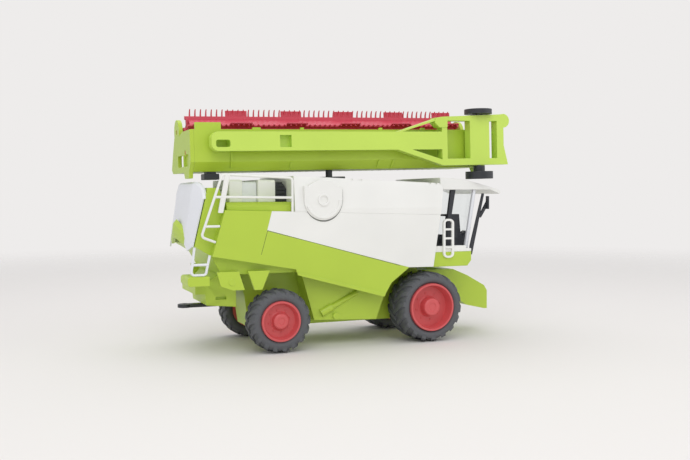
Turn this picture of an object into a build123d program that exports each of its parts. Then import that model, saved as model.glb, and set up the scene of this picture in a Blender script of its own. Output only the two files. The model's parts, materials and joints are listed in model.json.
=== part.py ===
"""Toy combine harvester, with its cutting header stowed over the roof on its transport carriage.

Millimetres. +X is the machine's front, +Y its left side, +Z up, and the floor is Z = 0.
The origin is on the floor under the middle of the whole toy's box.
Plane.XZ faces the machine's right side, so a positive extrusion from it goes to the right.
The header and its carriage are drawn level and then pitched nose-up as one, as they are stowed.
"""
import os
from math import atan2, cos, degrees, radians, sin

from build123d import *

os.makedirs("parts", exist_ok=True)

# Running gear
wheelbase = 142.0
rear_axle_x = -70.5
front_axle_x = rear_axle_x + wheelbase
half_width = 58.0
front_tyre_r = 31.5
front_tyre_w = 33.0
front_rim_r = 21.5
rear_tyre_r = 27.0
rear_tyre_w = 22.0
rear_rim_r = 17.2
lug_h = 2.2
lug_count = 16
axle_r = 1.8
fit = 0.05
running_gap = 0.3

# Side walls: how far they stand in from the tyres, and the height of their main lines
tyre_proud = 4.0
side_y = half_width - tyre_proud
panel_t = 8.0
core_half_w = side_y - panel_t
shell_t = 2.0
arch_gap = 4.0
arch_z = 2 * front_tyre_r + arch_gap
sill_h = 3.0
sill_z = arch_z + sill_h
ridge_h = 54.0
ridge_fall = 6.5
ridge_rear_z = arch_z + ridge_h
ridge_front_z = ridge_rear_z - ridge_fall
body_rear_x = rear_axle_x - 56.5
tank_rear_x = rear_axle_x + 14.0
tank_front_x = front_axle_x + 10.5

# Grain tank, whose walls lean in above the ridge
tank_h = 28.0
tank_fall = 6.0
tank_lean = 4.0
tank_top_rear_z = ridge_rear_z + tank_h
tank_top_front_z = tank_top_rear_z - tank_fall
tank_top_y = side_y - tank_lean
tank_wall = 5.0
lid_t = 1.6
lid_gap = 0.2
hull_lip = 0.01

# Unloading auger in a groove of the left wall
auger_r = 4.0
groove_gap = 0.6
turret_x = front_axle_x - 5.5
groove_z = ridge_rear_z + 15.0

# Cab
platform_h = 16.0
cab_floor_z = arch_z + platform_h
cab_inset = 9.0
cab_half_w = side_y - cab_inset
cab_long = 33.0
cab_lean = 9.0
cab_foot_x = tank_front_x + cab_long
cab_head_x = cab_foot_x + cab_lean
roof_t = 11.0
roof_rear_z = tank_top_rear_z - 1.0
roof_under_z = roof_rear_z - roof_t
visor_long = 26.0
glass_t = 1.2
glass_bulge = 12.0
post_w = 3.0

# Feeder house between the front wheels
cheek_t = 2.0
cheek_gap = 0.5
tyre_gap = 2.5
feeder_half_w = half_width - front_tyre_w - tyre_gap - cheek_t - cheek_gap
feeder_pivot_x = front_axle_x + 27.5
feeder_pivot_z = front_tyre_r + 18.5
feeder_pin_r = 1.5
pin_fit = 0.08

# Rear hood on its hinge
hood_pivot_x = body_rear_x - 8.2
hood_pivot_z = ridge_rear_z + 13.5
hood_pin_r = 0.8
knuckle_r = 1.8
knuckle_w = 8.0

# Header over the roof, its back wall towards the right side
header_w = 284.0
header_mid_x = 2.0
header_rear_x = header_mid_x - header_w / 2
header_front_x = header_mid_x + header_w / 2
stow_gap = 6.6
header_h = 35.0
header_base_z = tank_top_rear_z + stow_gap
header_top_z = header_base_z + header_h
header_pitch = 1.3
header_back_y = -33.0
header_deep = 70.0
header_lip_y = header_back_y + header_deep
trough_t = 2.4
end_t = 3.5
intake_r = 10.5
intake_y = header_back_y + 21.0
intake_z = header_base_z + 16.4
reel_tube_r = 4.5
reel_shaft_r = 2.0
reel_bat_r = 12.0
reel_tip_r = 21.0
reel_y = header_back_y + 55.0
reel_z = header_base_z + 36.0

# Transport carriage, on its side against the header's back wall
carriage_gap = 4.0
carriage_t = 10.0
carriage_in_y = header_back_y - carriage_gap
carriage_out_y = carriage_in_y - carriage_t
beam_rear_x = header_rear_x + 15.0
beam_h = 16.0
beam_mid_z = header_base_z + 24.2
frame_rear_x = 88.0
frame_long = 69.5
frame_front_x = frame_rear_x + frame_long
frame_h = 45.7
frame_low_z = header_base_z + 1.6
frame_high_z = frame_low_z + frame_h
frame_bar = 5.6
carriage_axle_x = frame_rear_x + 41.0
carriage_wheel_r = 12.8
carriage_wheel_w = 7.0


def ridge_z(x):
    """Height of the ridge line, where the side walls break, at a station x."""
    share = (x - body_rear_x) / (tank_front_x - body_rear_x)
    return ridge_rear_z - share * ridge_fall


def tank_top_z(x):
    """Height of the tank's top edge at a station x."""
    share = (x - tank_rear_x) / (tank_front_x - tank_rear_x)
    return tank_top_rear_z - share * tank_fall


def save(piece, label):
    """Label a finished piece and write its STEP file."""
    piece.part.label = label
    export_step(piece.part, f"parts/{label}.step")


def save_pair(piece, label):
    """Write a right-hand piece and its mirror image on the left."""
    save(piece, label + "_right")
    with BuildPart() as twin:
        mirror(piece.part, about=Plane.XZ)
    save(twin, label + "_left")


stow_place = Pos(0, 0, header_base_z) * Rot(0, -header_pitch, 0) * Pos(0, 0, -header_base_z)


def save_stowed(piece, label):
    """Pitch a finished piece of the header or the carriage to its stowed place and write it."""
    with BuildPart() as stowed:
        with Locations(stow_place):
            add(piece.part)
    save(stowed, label)


def side_prism(points, y_out, y_in, mode=Mode.ADD):
    """Add or cut a prism with its outline in side view, from y_out to y_in on the right-hand side."""
    with BuildSketch(Plane.XZ.offset(y_in)) as outline:
        with BuildLine():
            Polyline(*points, close=True)
        make_face()
    extrude(outline.sketch, amount=y_out - y_in, mode=mode)


def cross_prism(points, x_rear, x_front, mode=Mode.ADD):
    """Add or cut a prism with its outline (y, z) across the machine, from x_rear to x_front."""
    with BuildSketch(Plane.YZ.offset(x_rear)) as outline:
        with BuildLine():
            Polyline(*points, close=True)
        make_face()
    extrude(outline.sketch, amount=x_front - x_rear, mode=mode)


def crowned_block(x_rear, x_front, half_w, z_low, z_top, corner):
    """Add a block across the machine whose two upper edges are cut at a slant."""
    cross_prism(
        [
            (-half_w, z_low),
            (half_w, z_low),
            (half_w, z_top - corner),
            (half_w - corner, z_top),
            (corner - half_w, z_top),
            (-half_w, z_top - corner),
        ],
        x_rear,
        x_front,
    )


def rounded_bar(points, bend, half_thick, plane):
    """Add an eight-sided tube along straight runs joined by arcs, in the given plane."""
    with BuildLine(plane) as route:
        if bend > 0:
            FilletPolyline(*points, radius=bend)
        else:
            Line(*points)
    with BuildSketch(Plane(origin=route.line @ 0, z_dir=route.line % 0)) as ring:
        RegularPolygon(half_thick, 8, major_radius=False)
    sweep(ring.sketch, path=route.line)


# Tyres: a crowned carcass of flats, each lug slanting from the middle of the tread to its edge
shoulder_share = 0.14
lug_wide_share = 0.15
lug_slant = 36.0
rim_edge = 0.4
# columns: name, axle x, tyre radius, width, rim radius
wheels = [
    ("front", front_axle_x, front_tyre_r, front_tyre_w, front_rim_r),
    ("rear", rear_axle_x, rear_tyre_r, rear_tyre_w, rear_rim_r),
]
for name, axle_x, tyre_r, tyre_w, rim_r in wheels:
    crown_r = tyre_r - lug_h
    shoulder = shoulder_share * tyre_w
    tread_w = tyre_w - 2 * shoulder
    lug_wide = lug_wide_share * tyre_r
    lug_sin, lug_cos = sin(radians(lug_slant)), cos(radians(lug_slant))
    lug_long = (tyre_w / 2 - lug_wide * lug_sin) / lug_cos
    lug_reach = (lug_long * lug_sin + lug_wide * lug_cos) / 2
    lug_top_r = (tyre_r**2 - lug_reach**2) ** 0.5
    with BuildPart(Plane.XZ) as carcass:
        with BuildSketch(Plane.XZ.offset(-tread_w / 2)):
            RegularPolygon(crown_r, 2 * lug_count, major_radius=False)
        extrude(amount=tread_w)
        for side in (-1, 1):
            for y, r in ((tread_w / 2, crown_r), (tyre_w / 2, crown_r - shoulder)):
                with BuildSketch(Plane.XZ.offset(side * y)):
                    RegularPolygon(r, 2 * lug_count, major_radius=False)
            loft()
        for side in (-1, 1):
            with Locations((0, 0, side * tyre_w / 4)):
                with PolarLocations(lug_top_r - lug_h, lug_count, start_angle=(side + 1) * 90 / lug_count):
                    Box(2 * lug_h, lug_wide, lug_long, rotation=(side * lug_slant, 0, 0))
        with BuildSketch(Plane.XZ.offset(-tyre_w / 2)):
            Circle(rim_r + fit)
        extrude(amount=tyre_w, mode=Mode.SUBTRACT)
    with BuildPart() as tyre:
        with Locations((axle_x, tyre_w / 2 - half_width, tyre_r)):
            add(carcass.part)
    save_pair(tyre, name + "_tyre")

    # Dished rim: a rolled lip, a deep dish and a raised cap round the axle's end
    face = -tyre_w / 2
    dish = 0.3 * tyre_w
    lip_w = 2.2
    cap_r = 0.36 * rim_r
    cap_t = 2.4
    back = tyre_w / 2 - shell_t
    with BuildPart() as wheel_disc:
        with BuildSketch(Plane.XY):
            with BuildLine():
                Polyline(
                    (axle_r + fit, back),
                    (rim_r, back),
                    (rim_r, face),
                    (rim_r - lip_w / 2, face - rim_edge),
                    (rim_r - lip_w, face + rim_edge),
                    (rim_r - 2 * lip_w, face + dish),
                    (cap_r + lip_w, face + dish),
                    (cap_r, face + 2 * rim_edge),
                    (0, face + rim_edge),
                    (0, face + rim_edge + cap_t),
                    (axle_r + fit, face + rim_edge + cap_t),
                    close=True,
                )
            make_face()
        revolve(axis=Axis.Y)
    with BuildPart() as rim:
        with Locations((axle_x, tyre_w / 2 - half_width, tyre_r)):
            add(wheel_disc.part)
    save_pair(rim, name + "_rim")

    with BuildPart() as axle:
        with Locations((axle_x, 0, tyre_r)):
            Cylinder(axle_r, 2 * (half_width - rim_edge - cap_t - fit), rotation=(90, 0, 0))
    save(axle, name + "_axle")


# Body core: the closed green inner box that the side panels are fixed to, with the hood's knuckles
rear_wall_lean = 11.5
rear_wall_low_z = sill_z + 21.0
rear_wall_high_z = ridge_rear_z + 18.0
rear_wall_high_x = body_rear_x - 2.0
rear_wall_low_x = rear_wall_high_x - rear_wall_lean
deck_rear_x = body_rear_x + 12.0
knuckle_arm = 6.0
arm_t = 2.0
hood_half_w = core_half_w
knuckle_y = 0.52 * hood_half_w
with BuildPart() as body_core:
    side_prism(
        [
            (rear_wall_low_x, rear_wall_low_z),
            (rear_wall_high_x, rear_wall_high_z),
            (deck_rear_x - 4.5, rear_wall_high_z),
            (deck_rear_x, ridge_z(deck_rear_x)),
            (tank_front_x, ridge_front_z),
            (tank_front_x - 6.0, arch_z),
            (body_rear_x + 9.0, arch_z),
            (body_rear_x, arch_z + platform_h),
        ],
        core_half_w,
        -core_half_w,
    )
    for y in (-knuckle_y, knuckle_y):
        with Locations((hood_pivot_x, y, hood_pivot_z)):
            Cylinder(knuckle_r, knuckle_w, rotation=(90, 0, 0))
        with Locations((hood_pivot_x + knuckle_arm / 2, y, hood_pivot_z)):
            Box(knuckle_arm, knuckle_w, arm_t)
        with Locations((hood_pivot_x, y, hood_pivot_z)):
            Cylinder(hood_pin_r + pin_fit, 2 * knuckle_w, rotation=(90, 0, 0), mode=Mode.SUBTRACT)
save(body_core, "body_core")

# Lower hull: bearing blocks at the axles, the feeder's cheeks and the wide middle box with its
# moulded rod, barrel and knob
hull_half_w = feeder_half_w - 1.0
hull_low_z = 18.0
hull_front_x = feeder_pivot_x - 9.0
cheek_y = feeder_half_w + cheek_gap + cheek_t
cheek_low_z = feeder_pivot_z - 10.0
cheek_top_z = feeder_pivot_z + 12.0
middle_half_w = half_width - 18.0
middle_rear_x = rear_axle_x + rear_tyre_r + 1.5
middle_front_x = front_axle_x - front_tyre_r - 9.0
middle_low_z = hull_low_z + 3.5
rod_r = 2.6
barrel_r = 3.6
barrel_share = 0.3
knob_r = 3.0
knob_t = 2.0
rod_rear = (middle_rear_x + 13.0, middle_low_z + 8.0)
rod_front = (middle_front_x - 26.0, middle_low_z + 25.0)
rod_long = ((rod_front[0] - rod_rear[0]) ** 2 + (rod_front[1] - rod_rear[1]) ** 2) ** 0.5
rod_turn = 90 - degrees(atan2(rod_front[1] - rod_rear[1], rod_front[0] - rod_rear[0]))
with BuildPart() as lower_hull:
    side_prism(
        [
            (rear_axle_x - 24.5, arch_z),
            (rear_axle_x - 17.5, hull_low_z),
            (hull_front_x - 8.0, hull_low_z),
            (hull_front_x, hull_low_z + 12.0),
            (hull_front_x, cheek_top_z),
            (tank_front_x - 6.0, cheek_top_z),
            (tank_front_x - 8.0, arch_z),
        ],
        hull_half_w,
        -hull_half_w,
    )
    side_prism(
        [
            (hull_front_x - 8.0, cheek_low_z),
            (hull_front_x, cheek_low_z),
            (hull_front_x, cheek_top_z),
            (hull_front_x - 8.0, cheek_top_z),
        ],
        cheek_y,
        -cheek_y,
    )
    for y_out in (cheek_y, cheek_t - cheek_y):
        side_prism(
            [
                (hull_front_x, cheek_low_z + 3.0),
                (feeder_pivot_x + 1.0, cheek_low_z),
                (feeder_pivot_x + 13.0, cheek_low_z + 3.0),
                (feeder_pivot_x + 24.0, cheek_low_z + 7.0),
                (feeder_pivot_x + 9.0, cheek_top_z),
                (hull_front_x, cheek_top_z),
            ],
            y_out,
            y_out - cheek_t,
        )
    with Locations((feeder_pivot_x, 0, feeder_pivot_z)):
        Cylinder(feeder_pin_r + pin_fit, 3 * cheek_y, rotation=(90, 0, 0), mode=Mode.SUBTRACT)
    side_prism(
        [
            (middle_rear_x - 5.0, arch_z),
            (middle_rear_x + 7.0, middle_low_z + 2.5),
            (middle_front_x - 7.0, middle_low_z),
            (middle_front_x, cheek_low_z),
            (middle_front_x, arch_z),
        ],
        middle_half_w,
        -middle_half_w,
    )
    for y in (-middle_half_w, middle_half_w):
        rod_mid = ((rod_rear[0] + rod_front[0]) / 2, y, (rod_rear[1] + rod_front[1]) / 2)
        with Locations(Location(rod_mid, (0, rod_turn, 0))):
            Cylinder(rod_r, rod_long)
            with Locations((0, 0, (barrel_share - 1) * rod_long / 2)):
                Cylinder(barrel_r, barrel_share * rod_long)
        with Locations((rod_rear[0] + 14.0, y, middle_low_z + 5.0)):
            Cylinder(knob_r, 2 * knob_t, rotation=(90, 0, 0))
    for axle_x, axle_z in ((front_axle_x, front_tyre_r), (rear_axle_x, rear_tyre_r)):
        with Locations((axle_x, 0, axle_z)):
            Cylinder(axle_r + running_gap, 3 * hull_half_w, rotation=(90, 0, 0), mode=Mode.SUBTRACT)
save(lower_hull, "lower_hull")

# Rear chute with a slot in its side, and the tow hitch under it
chute_half_w = middle_half_w - 2.0
chute_front_x = body_rear_x + 23.0
chute_low_z = arch_z - 28.0
step_low_z = arch_z - 8.0
shelf_low_z = step_low_z - 9.5
slot_h = 2.5
slot_deep = 3.0
with BuildPart() as rear_chute:
    side_prism(
        [
            (body_rear_x + 9.0, arch_z),
            (body_rear_x - 3.0, step_low_z - running_gap),
            (body_rear_x - 17.0, step_low_z - running_gap),
            (body_rear_x - 17.0, shelf_low_z),
            (body_rear_x - 3.0, shelf_low_z),
            (body_rear_x - 1.0, chute_low_z + 1.0),
            (chute_front_x, chute_low_z),
            (chute_front_x, arch_z),
        ],
        chute_half_w,
        -chute_half_w,
    )
    for y in (-chute_half_w, chute_half_w):
        with Locations((body_rear_x + 10.0, y, shelf_low_z - slot_h)):
            Box(9.0, 2 * slot_deep, slot_h, mode=Mode.SUBTRACT)
save(rear_chute, "rear_chute")

hitch_r = 2.0
hitch_eye_r = 6.0
hitch_bar_w = 9.0
hitch_t = 3.0
hitch_x = body_rear_x - 13.0
with BuildPart() as tow_hitch:
    with BuildSketch(Plane.XY.offset(chute_low_z - hitch_t)):
        with Locations((hitch_x, 0)):
            Circle(hitch_eye_r)
        with Locations(((hitch_x + chute_front_x) / 2, 0)):
            Rectangle(chute_front_x - hitch_x, hitch_bar_w)
        with Locations((hitch_x, 0)):
            Circle(hitch_r, mode=Mode.SUBTRACT)
    extrude(amount=hitch_t)
save(tow_hitch, "tow_hitch")

# Drop brackets under the rear of the side panels, the rear one with a boss
bracket_t = 3.0
bracket_out_y = side_y - 1.0
boss_r = 2.6
boss_t = 0.5
bracket_x = body_rear_x + 3.2
with BuildPart() as drop_bracket:
    # columns: rear top, front top, front foot, rear foot, depth at the front, depth at the rear
    for top0, top1, foot1, foot0, deep1, deep0 in ((0, 18.4, 23.4, 3.2, 15.5, 11.8), (26.1, 45.1, 38.4, 31.9, 16, 16)):
        side_prism(
            [
                (bracket_x + top0, sill_z),
                (bracket_x + top1, sill_z),
                (bracket_x + foot1, sill_z - deep1),
                (bracket_x + (foot0 + foot1) / 2, sill_z - deep1),
                (bracket_x + foot0, sill_z - deep0),
            ],
            bracket_out_y,
            bracket_out_y - bracket_t,
        )
    with Locations((bracket_x + 12.4, -bracket_out_y, sill_z - 9.0)):
        Cylinder(boss_r, 2 * boss_t, rotation=(90, 0, 0))
save_pair(drop_bracket, "drop_bracket")

# Green side panel with its skirt, whose lower edge has a lip
skirt_tip = (front_axle_x - front_tyre_r - 14.7, arch_z - 24.0)
skirt_rear = (rear_axle_x + 16.0, sill_z - 5.0)
lip_h = 2.6
lip_t = 0.8
wedge_tail = (rear_axle_x - 10.8, ridge_rear_z - 18.0)
wedge_foot = (front_axle_x - 21.4, arch_z + 0.9)
wedge_head_x = wedge_tail[0] + 4.3
wedge_head = (wedge_head_x, ridge_z(wedge_head_x))
panel_rear_x = body_rear_x + 10.4
with BuildPart() as side_panel:
    side_prism(
        [
            (panel_rear_x, ridge_z(panel_rear_x)),
            (body_rear_x - 0.4, cab_floor_z),
            (body_rear_x + 2.0, sill_z),
            (skirt_rear[0] - 1.5, sill_z),
            skirt_rear,
            skirt_tip,
            (skirt_tip[0] + 7.7, skirt_tip[1] + 12.2),
            wedge_foot,
            wedge_tail,
            wedge_head,
        ],
        side_y,
        core_half_w,
    )
    side_prism(
        [
            (skirt_rear[0] - 4.0, sill_z - hull_lip),
            (skirt_rear[0] - 4.0, skirt_tip[1] - 10.0),
            (wedge_foot[0] + 10.0, skirt_tip[1] - 10.0),
            (wedge_foot[0] + 10.0, arch_z - hull_lip),
            (skirt_tip[0] - 5.0, arch_z - hull_lip),
            (skirt_tip[0] - 5.0, sill_z - hull_lip),
        ],
        side_y - shell_t,
        core_half_w,
        Mode.SUBTRACT,
    )
    side_prism(
        [skirt_rear, skirt_tip, (skirt_tip[0] + 1.6, skirt_tip[1] + lip_h), (skirt_rear[0], skirt_rear[1] + lip_h)],
        side_y + lip_t,
        side_y,
    )
save_pair(side_panel, "side_panel")

# White wedge panel below the ridge
with BuildPart() as wedge_panel:
    side_prism(
        [wedge_head, wedge_tail, wedge_foot, (tank_front_x - 7.3, arch_z + 0.5), (tank_front_x, ridge_front_z)],
        side_y,
        core_half_w,
    )
save_pair(wedge_panel, "wedge_panel")


def tank_prism(x_front, z_low, mode):
    """Add or cut a prism of the tank's cross-section, which leans in from the ridge to the top."""
    cross_prism(
        [
            (-side_y, z_low),
            (side_y, z_low),
            (side_y, ridge_rear_z),
            (tank_top_y, tank_top_rear_z),
            (-tank_top_y, tank_top_rear_z),
            (-side_y, ridge_rear_z),
        ],
        tank_rear_x,
        x_front,
        mode,
    )


# Grain tank: an open tub on the core, its walls leaning in, with hinge pockets on its right edge
nose_out = 3.8
tank_floor_t = 2.0
pocket_deep = 1.4
tub_half_w = tank_top_y - tank_wall
with BuildPart() as grain_tank:
    tank_prism(tank_front_x + nose_out, ridge_front_z, Mode.ADD)
    side_prism(
        [
            (tank_rear_x, tank_top_rear_z),
            (tank_front_x, tank_top_front_z),
            (tank_front_x + nose_out, tank_top_front_z - tank_lean),
            (tank_front_x, ridge_front_z),
            (tank_rear_x, ridge_z(tank_rear_x)),
        ],
        side_y,
        -side_y,
        Mode.INTERSECT,
    )
    side_prism(
        [
            (tank_rear_x + shell_t, tank_top_rear_z + shell_t),
            (tank_front_x - shell_t, tank_top_rear_z + shell_t),
            (tank_front_x - shell_t, ridge_rear_z + tank_floor_t),
            (tank_rear_x + shell_t, ridge_rear_z + tank_floor_t),
        ],
        tub_half_w,
        -tub_half_w,
        Mode.SUBTRACT,
    )
    # columns: where the pocket's middle lies along the tank, its length
    for share, long in ((0.38, 3.0), (0.44, 4.0), (0.93, 3.0), (0.975, 3.0)):
        x = tank_rear_x + share * (tank_front_x - tank_rear_x)
        with Locations((x, -tank_top_y, tank_top_z(x))):
            Box(long, 2 * pocket_deep, 2 * pocket_deep, mode=Mode.SUBTRACT)
    with Locations(((tank_rear_x + turret_x) / 2, side_y, groove_z)):
        Box(turret_x - tank_rear_x, 2 * (auger_r + groove_gap), 2 * (auger_r + groove_gap), mode=Mode.SUBTRACT)
    with Locations((turret_x, side_y, (ridge_front_z + tank_top_rear_z) / 2)):
        Cylinder(auger_r + groove_gap, 2 * tank_h, mode=Mode.SUBTRACT)
save(grain_tank, "grain_tank")

# Tank lids, two flaps with stiffening ribs, meeting over the middle
lid_drop = 0.3
rib_h = 0.8
rib_w = 2.0
with BuildPart() as tank_lids:
    lid_rear_x = tank_rear_x + shell_t + lid_gap
    lid_front_x = tank_front_x - shell_t - lid_gap
    lid_rear_z = tank_top_z(lid_rear_x) - lid_drop - rib_h
    lid_front_z = tank_top_z(lid_front_x) - lid_drop - rib_h
    side_prism(
        [
            (lid_rear_x, lid_rear_z),
            (lid_front_x, lid_front_z),
            (lid_front_x, lid_front_z - lid_t),
            (lid_rear_x, lid_rear_z - lid_t),
        ],
        tub_half_w - lid_gap,
        lid_gap,
    )
    rib_count = 5
    for k in range(rib_count):
        x = lid_rear_x + (k + 0.5) * (lid_front_x - lid_rear_x) / rib_count
        top = tank_top_z(x + rib_w) - lid_drop
        side_prism(
            [(x, top - lid_t), (x + rib_w, top - lid_t), (x + rib_w, top), (x, top)],
            tub_half_w - 2 * rib_w,
            2 * rib_w,
        )
    mirror(about=Plane.XZ)
save(tank_lids, "tank_lids")

# Round screen cover on the right wall: a disc with a square head, a raised arc and a boss
screen_x = tank_rear_x + 25.2
screen_z = ridge_rear_z + 7.5
screen_r = 17.3
screen_t = 1.4
arc_t = 0.9
arc_w = 2.4
screen_boss_r = 5.2
screen_hole_r = 3.5
screen_boss_t = 1.2
with BuildPart() as screen_cover:
    with BuildSketch(Plane.XZ.offset(tank_top_y)):
        with Locations((screen_x, screen_z)):
            Circle(screen_r)
        with Locations((screen_x, screen_z + screen_r / 3)):
            Rectangle(2 * screen_r, 2 * screen_r / 3)
    extrude(amount=tank_lean + screen_t)
    tank_prism(tank_front_x, arch_z, Mode.SUBTRACT)
    with BuildSketch(Plane.XZ.offset(side_y + screen_t)):
        with Locations((screen_x, screen_z)):
            Circle(screen_r - arc_w / 2)
            Circle(screen_r - 1.5 * arc_w, mode=Mode.SUBTRACT)
            with Locations((-screen_r, screen_r)):
                Rectangle(2 * screen_r, 2.6 * screen_r, mode=Mode.SUBTRACT)
            with Locations((0, screen_r)):
                Rectangle(2 * screen_r, 2 * screen_r, mode=Mode.SUBTRACT)
    extrude(amount=arc_t)
    with BuildSketch(Plane.XZ.offset(side_y + screen_t)):
        with Locations((screen_x, screen_z)):
            Circle(screen_boss_r)
            Circle(screen_hole_r, mode=Mode.SUBTRACT)
    extrude(amount=screen_boss_t)
save(screen_cover, "screen_cover")

# Engine deck behind the tank, its edges rounded, with its housing, fluid tank and grille on it
deck_rise = 6.0
deck_z = ridge_rear_z + deck_rise
deck_half_w = side_y - 5.0
deck_round = 3.0
with BuildPart() as engine_deck:
    crowned_block(deck_rear_x + 1.0, tank_rear_x, deck_half_w, ridge_front_z, deck_z, deck_round)
    side_prism(
        [
            (body_rear_x, ridge_z(body_rear_x)),
            (tank_front_x, ridge_front_z),
            (tank_front_x, ridge_front_z - tank_h),
            (body_rear_x, ridge_front_z - tank_h),
        ],
        side_y,
        -side_y,
        Mode.SUBTRACT,
    )
save(engine_deck, "engine_deck")

louvre_h = 1.0
louvre_pitch = 3.2
housing_half_w = 30.0
housing_rear_x = deck_rear_x + 8.0
housing_top_z = tank_top_rear_z - 3.0
fluid_long = 13.0
fluid_rear_x = housing_rear_x + 11.5
fluid_front_x = fluid_rear_x + fluid_long
panel_front_x = fluid_front_x + 15.5
with BuildPart() as engine_housing:
    # columns: rear x, front x, half width
    for x0, x1, half in (
        (housing_rear_x, fluid_rear_x - lid_gap, housing_half_w),
        (fluid_front_x + lid_gap, panel_front_x, housing_half_w + 2.0),
    ):
        crowned_block(x0, x1, half, deck_z, housing_top_z, lid_t)
    louvre_count = 4
    for k in range(louvre_count):
        with Locations((housing_rear_x, 0, deck_z + (k + 1) * louvre_pitch)):
            Box(2 * louvre_h, 1.6 * housing_half_w, louvre_h, mode=Mode.SUBTRACT)
save(engine_housing, "engine_housing")

with BuildPart() as fluid_tank:
    crowned_block(fluid_rear_x, fluid_front_x, housing_half_w - 2.0, deck_z, housing_top_z - lid_t, lid_t)
save(fluid_tank, "fluid_tank")

grille_rear_x = panel_front_x + lid_gap
grille_front_x = tank_rear_x - lid_gap
with BuildPart() as deck_grille:
    side_prism(
        [
            (grille_rear_x, deck_z),
            (grille_front_x, deck_z),
            (grille_front_x, housing_top_z - 8.0),
            (grille_front_x - 4.0, housing_top_z - 2.0),
            (grille_rear_x, housing_top_z - 2.0),
        ],
        housing_half_w + 1.0,
        -housing_half_w - 1.0,
    )
    slat_count = 5
    for k in range(slat_count):
        with Locations(((grille_rear_x + grille_front_x) / 2, -housing_half_w - 1.0, deck_z + (k + 1) * louvre_pitch)):
            Box(grille_front_x - grille_rear_x - 4.0, 2 * louvre_h, louvre_h, mode=Mode.SUBTRACT)
save(deck_grille, "deck_grille")

# Rear hood, a flap that hangs from its top edge, and the green deflector along its lower edge
hood_gap = 1.2
hood_near_top = (rear_wall_high_x - 3.2, rear_wall_high_z - 7.5)
hood_near_low = (rear_wall_low_x - hood_gap, rear_wall_low_z - 0.5)
hood_high_z = ridge_rear_z + 23.0
hood_out_x = body_rear_x - 30.0
hood_bend = (hood_out_x, ridge_rear_z - 9.0)
hood_curve = 4.0
deflector_low_z = rear_wall_low_z - 2.5
hood_outline = [
    hood_near_top,
    (hood_near_top[0] - 3.6, hood_near_top[1] + 6.5),
    (hood_near_top[0] - 10.5, hood_near_top[1] + 11.3),
    (hood_near_top[0] - 17.0, hood_high_z),
    (hood_near_top[0] - 19.4, hood_high_z - 2.6),
    hood_bend,
    hood_near_low,
]
with BuildPart() as rear_hood:
    with BuildSketch(Plane.XZ.offset(-hood_half_w)) as hood_side:
        with BuildLine():
            Polyline(*hood_outline, close=True)
        make_face()
    extrude(amount=2 * hood_half_w)
    hood_edges = rear_hood.edges().filter_by(Axis.Y).group_by(Axis.Z)[-2:]
    fillet([edge for group in hood_edges for edge in group], 2.0)
    with BuildSketch(Plane.XZ.offset(shell_t - hood_half_w)) as hood_hollow:
        offset(hood_side.sketch.face(), amount=-shell_t)
        with BuildLine():
            Polyline(
                hood_near_top,
                (hood_near_top[0] - 4.0, hood_near_top[1]),
                (hood_near_low[0] - 8.0, hood_near_low[1] + 12.0),
                (hood_near_low[0] - 4.0, hood_near_low[1] - 4.0),
                (hood_near_low[0] + 10.0, hood_near_low[1] - 4.0),
                (hood_near_top[0] + 6.0, hood_near_top[1]),
                close=True,
            )
        make_face()
    extrude(hood_hollow.sketch, amount=2 * (hood_half_w - shell_t), mode=Mode.SUBTRACT)
    for y in (-knuckle_y, knuckle_y):
        with Locations((hood_pivot_x, y, hood_pivot_z)):
            Cylinder(knuckle_r + 2 * running_gap, knuckle_w + 2.0, rotation=(90, 0, 0), mode=Mode.SUBTRACT)
    with Locations((hood_pivot_x, 0, hood_pivot_z)):
        Cylinder(hood_pin_r, 2 * hood_half_w - shell_t, rotation=(90, 0, 0))
save(rear_hood, "rear_hood")

with BuildPart() as hood_deflector:
    deflector = [
        hood_bend,
        (hood_bend[0] - 1.8, hood_bend[1] - 14.0),
        (hood_bend[0] + 1.5, hood_bend[1] - 20.5),
        (hood_near_low[0] - 2.0, deflector_low_z),
        hood_near_low,
    ]
    side_prism(deflector, hood_half_w, -hood_half_w)
    side_prism(
        [
            hood_bend,
            (hood_bend[0], hood_bend[1] - 13.0),
            (hood_bend[0] + 3.0, hood_bend[1] - 18.0),
            (hood_near_low[0] - 1.0, deflector_low_z + 1.6),
            hood_near_low,
        ],
        hood_half_w - shell_t,
        shell_t - hood_half_w,
        Mode.SUBTRACT,
    )
save(hood_deflector, "hood_deflector")

# Deck railing on the right: one bent tube with a middle rail, an inner leg and a step bar
rail_r = 1.1
rail_y = side_y - 1.5
rail_plane = Plane.XZ.offset(rail_y)
rail_front_x = tank_rear_x - rail_r - 0.8
rail_foot_z = ridge_z(rail_front_x - rail_r)
rail_top_z = tank_top_rear_z - 1.8
rail_rear = (body_rear_x + 8.6, rail_top_z + 2.6)
rail_mid_z = rail_top_z - 16.6
rail_low = (body_rear_x - 9.2, ridge_rear_z - 22.1)
leg_top_x = rail_rear[0] + 5.0
with BuildPart() as deck_railing:
    rounded_bar(
        [
            (rail_front_x, rail_foot_z),
            (rail_front_x, rail_top_z),
            rail_rear,
            rail_low,
            (body_rear_x + 2.4, rail_low[1] - 4.3),
        ],
        3.0,
        rail_r,
        rail_plane,
    )
    rounded_bar([(rail_front_x, rail_mid_z), (rail_rear[0] - 6.4, rail_mid_z + 0.8)], 0, rail_r, rail_plane)
    rounded_bar([(leg_top_x, rail_top_z + 2.2), (leg_top_x - 5.9, ridge_rear_z + 0.5)], 0, rail_r, rail_plane)
    rounded_bar([(rail_low[0] + 3.0, rail_low[1] + 8.6), (body_rear_x + 6.1, rail_low[1] + 8.6)], 0, rail_r, rail_plane)
save(deck_railing, "deck_railing")

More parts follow.
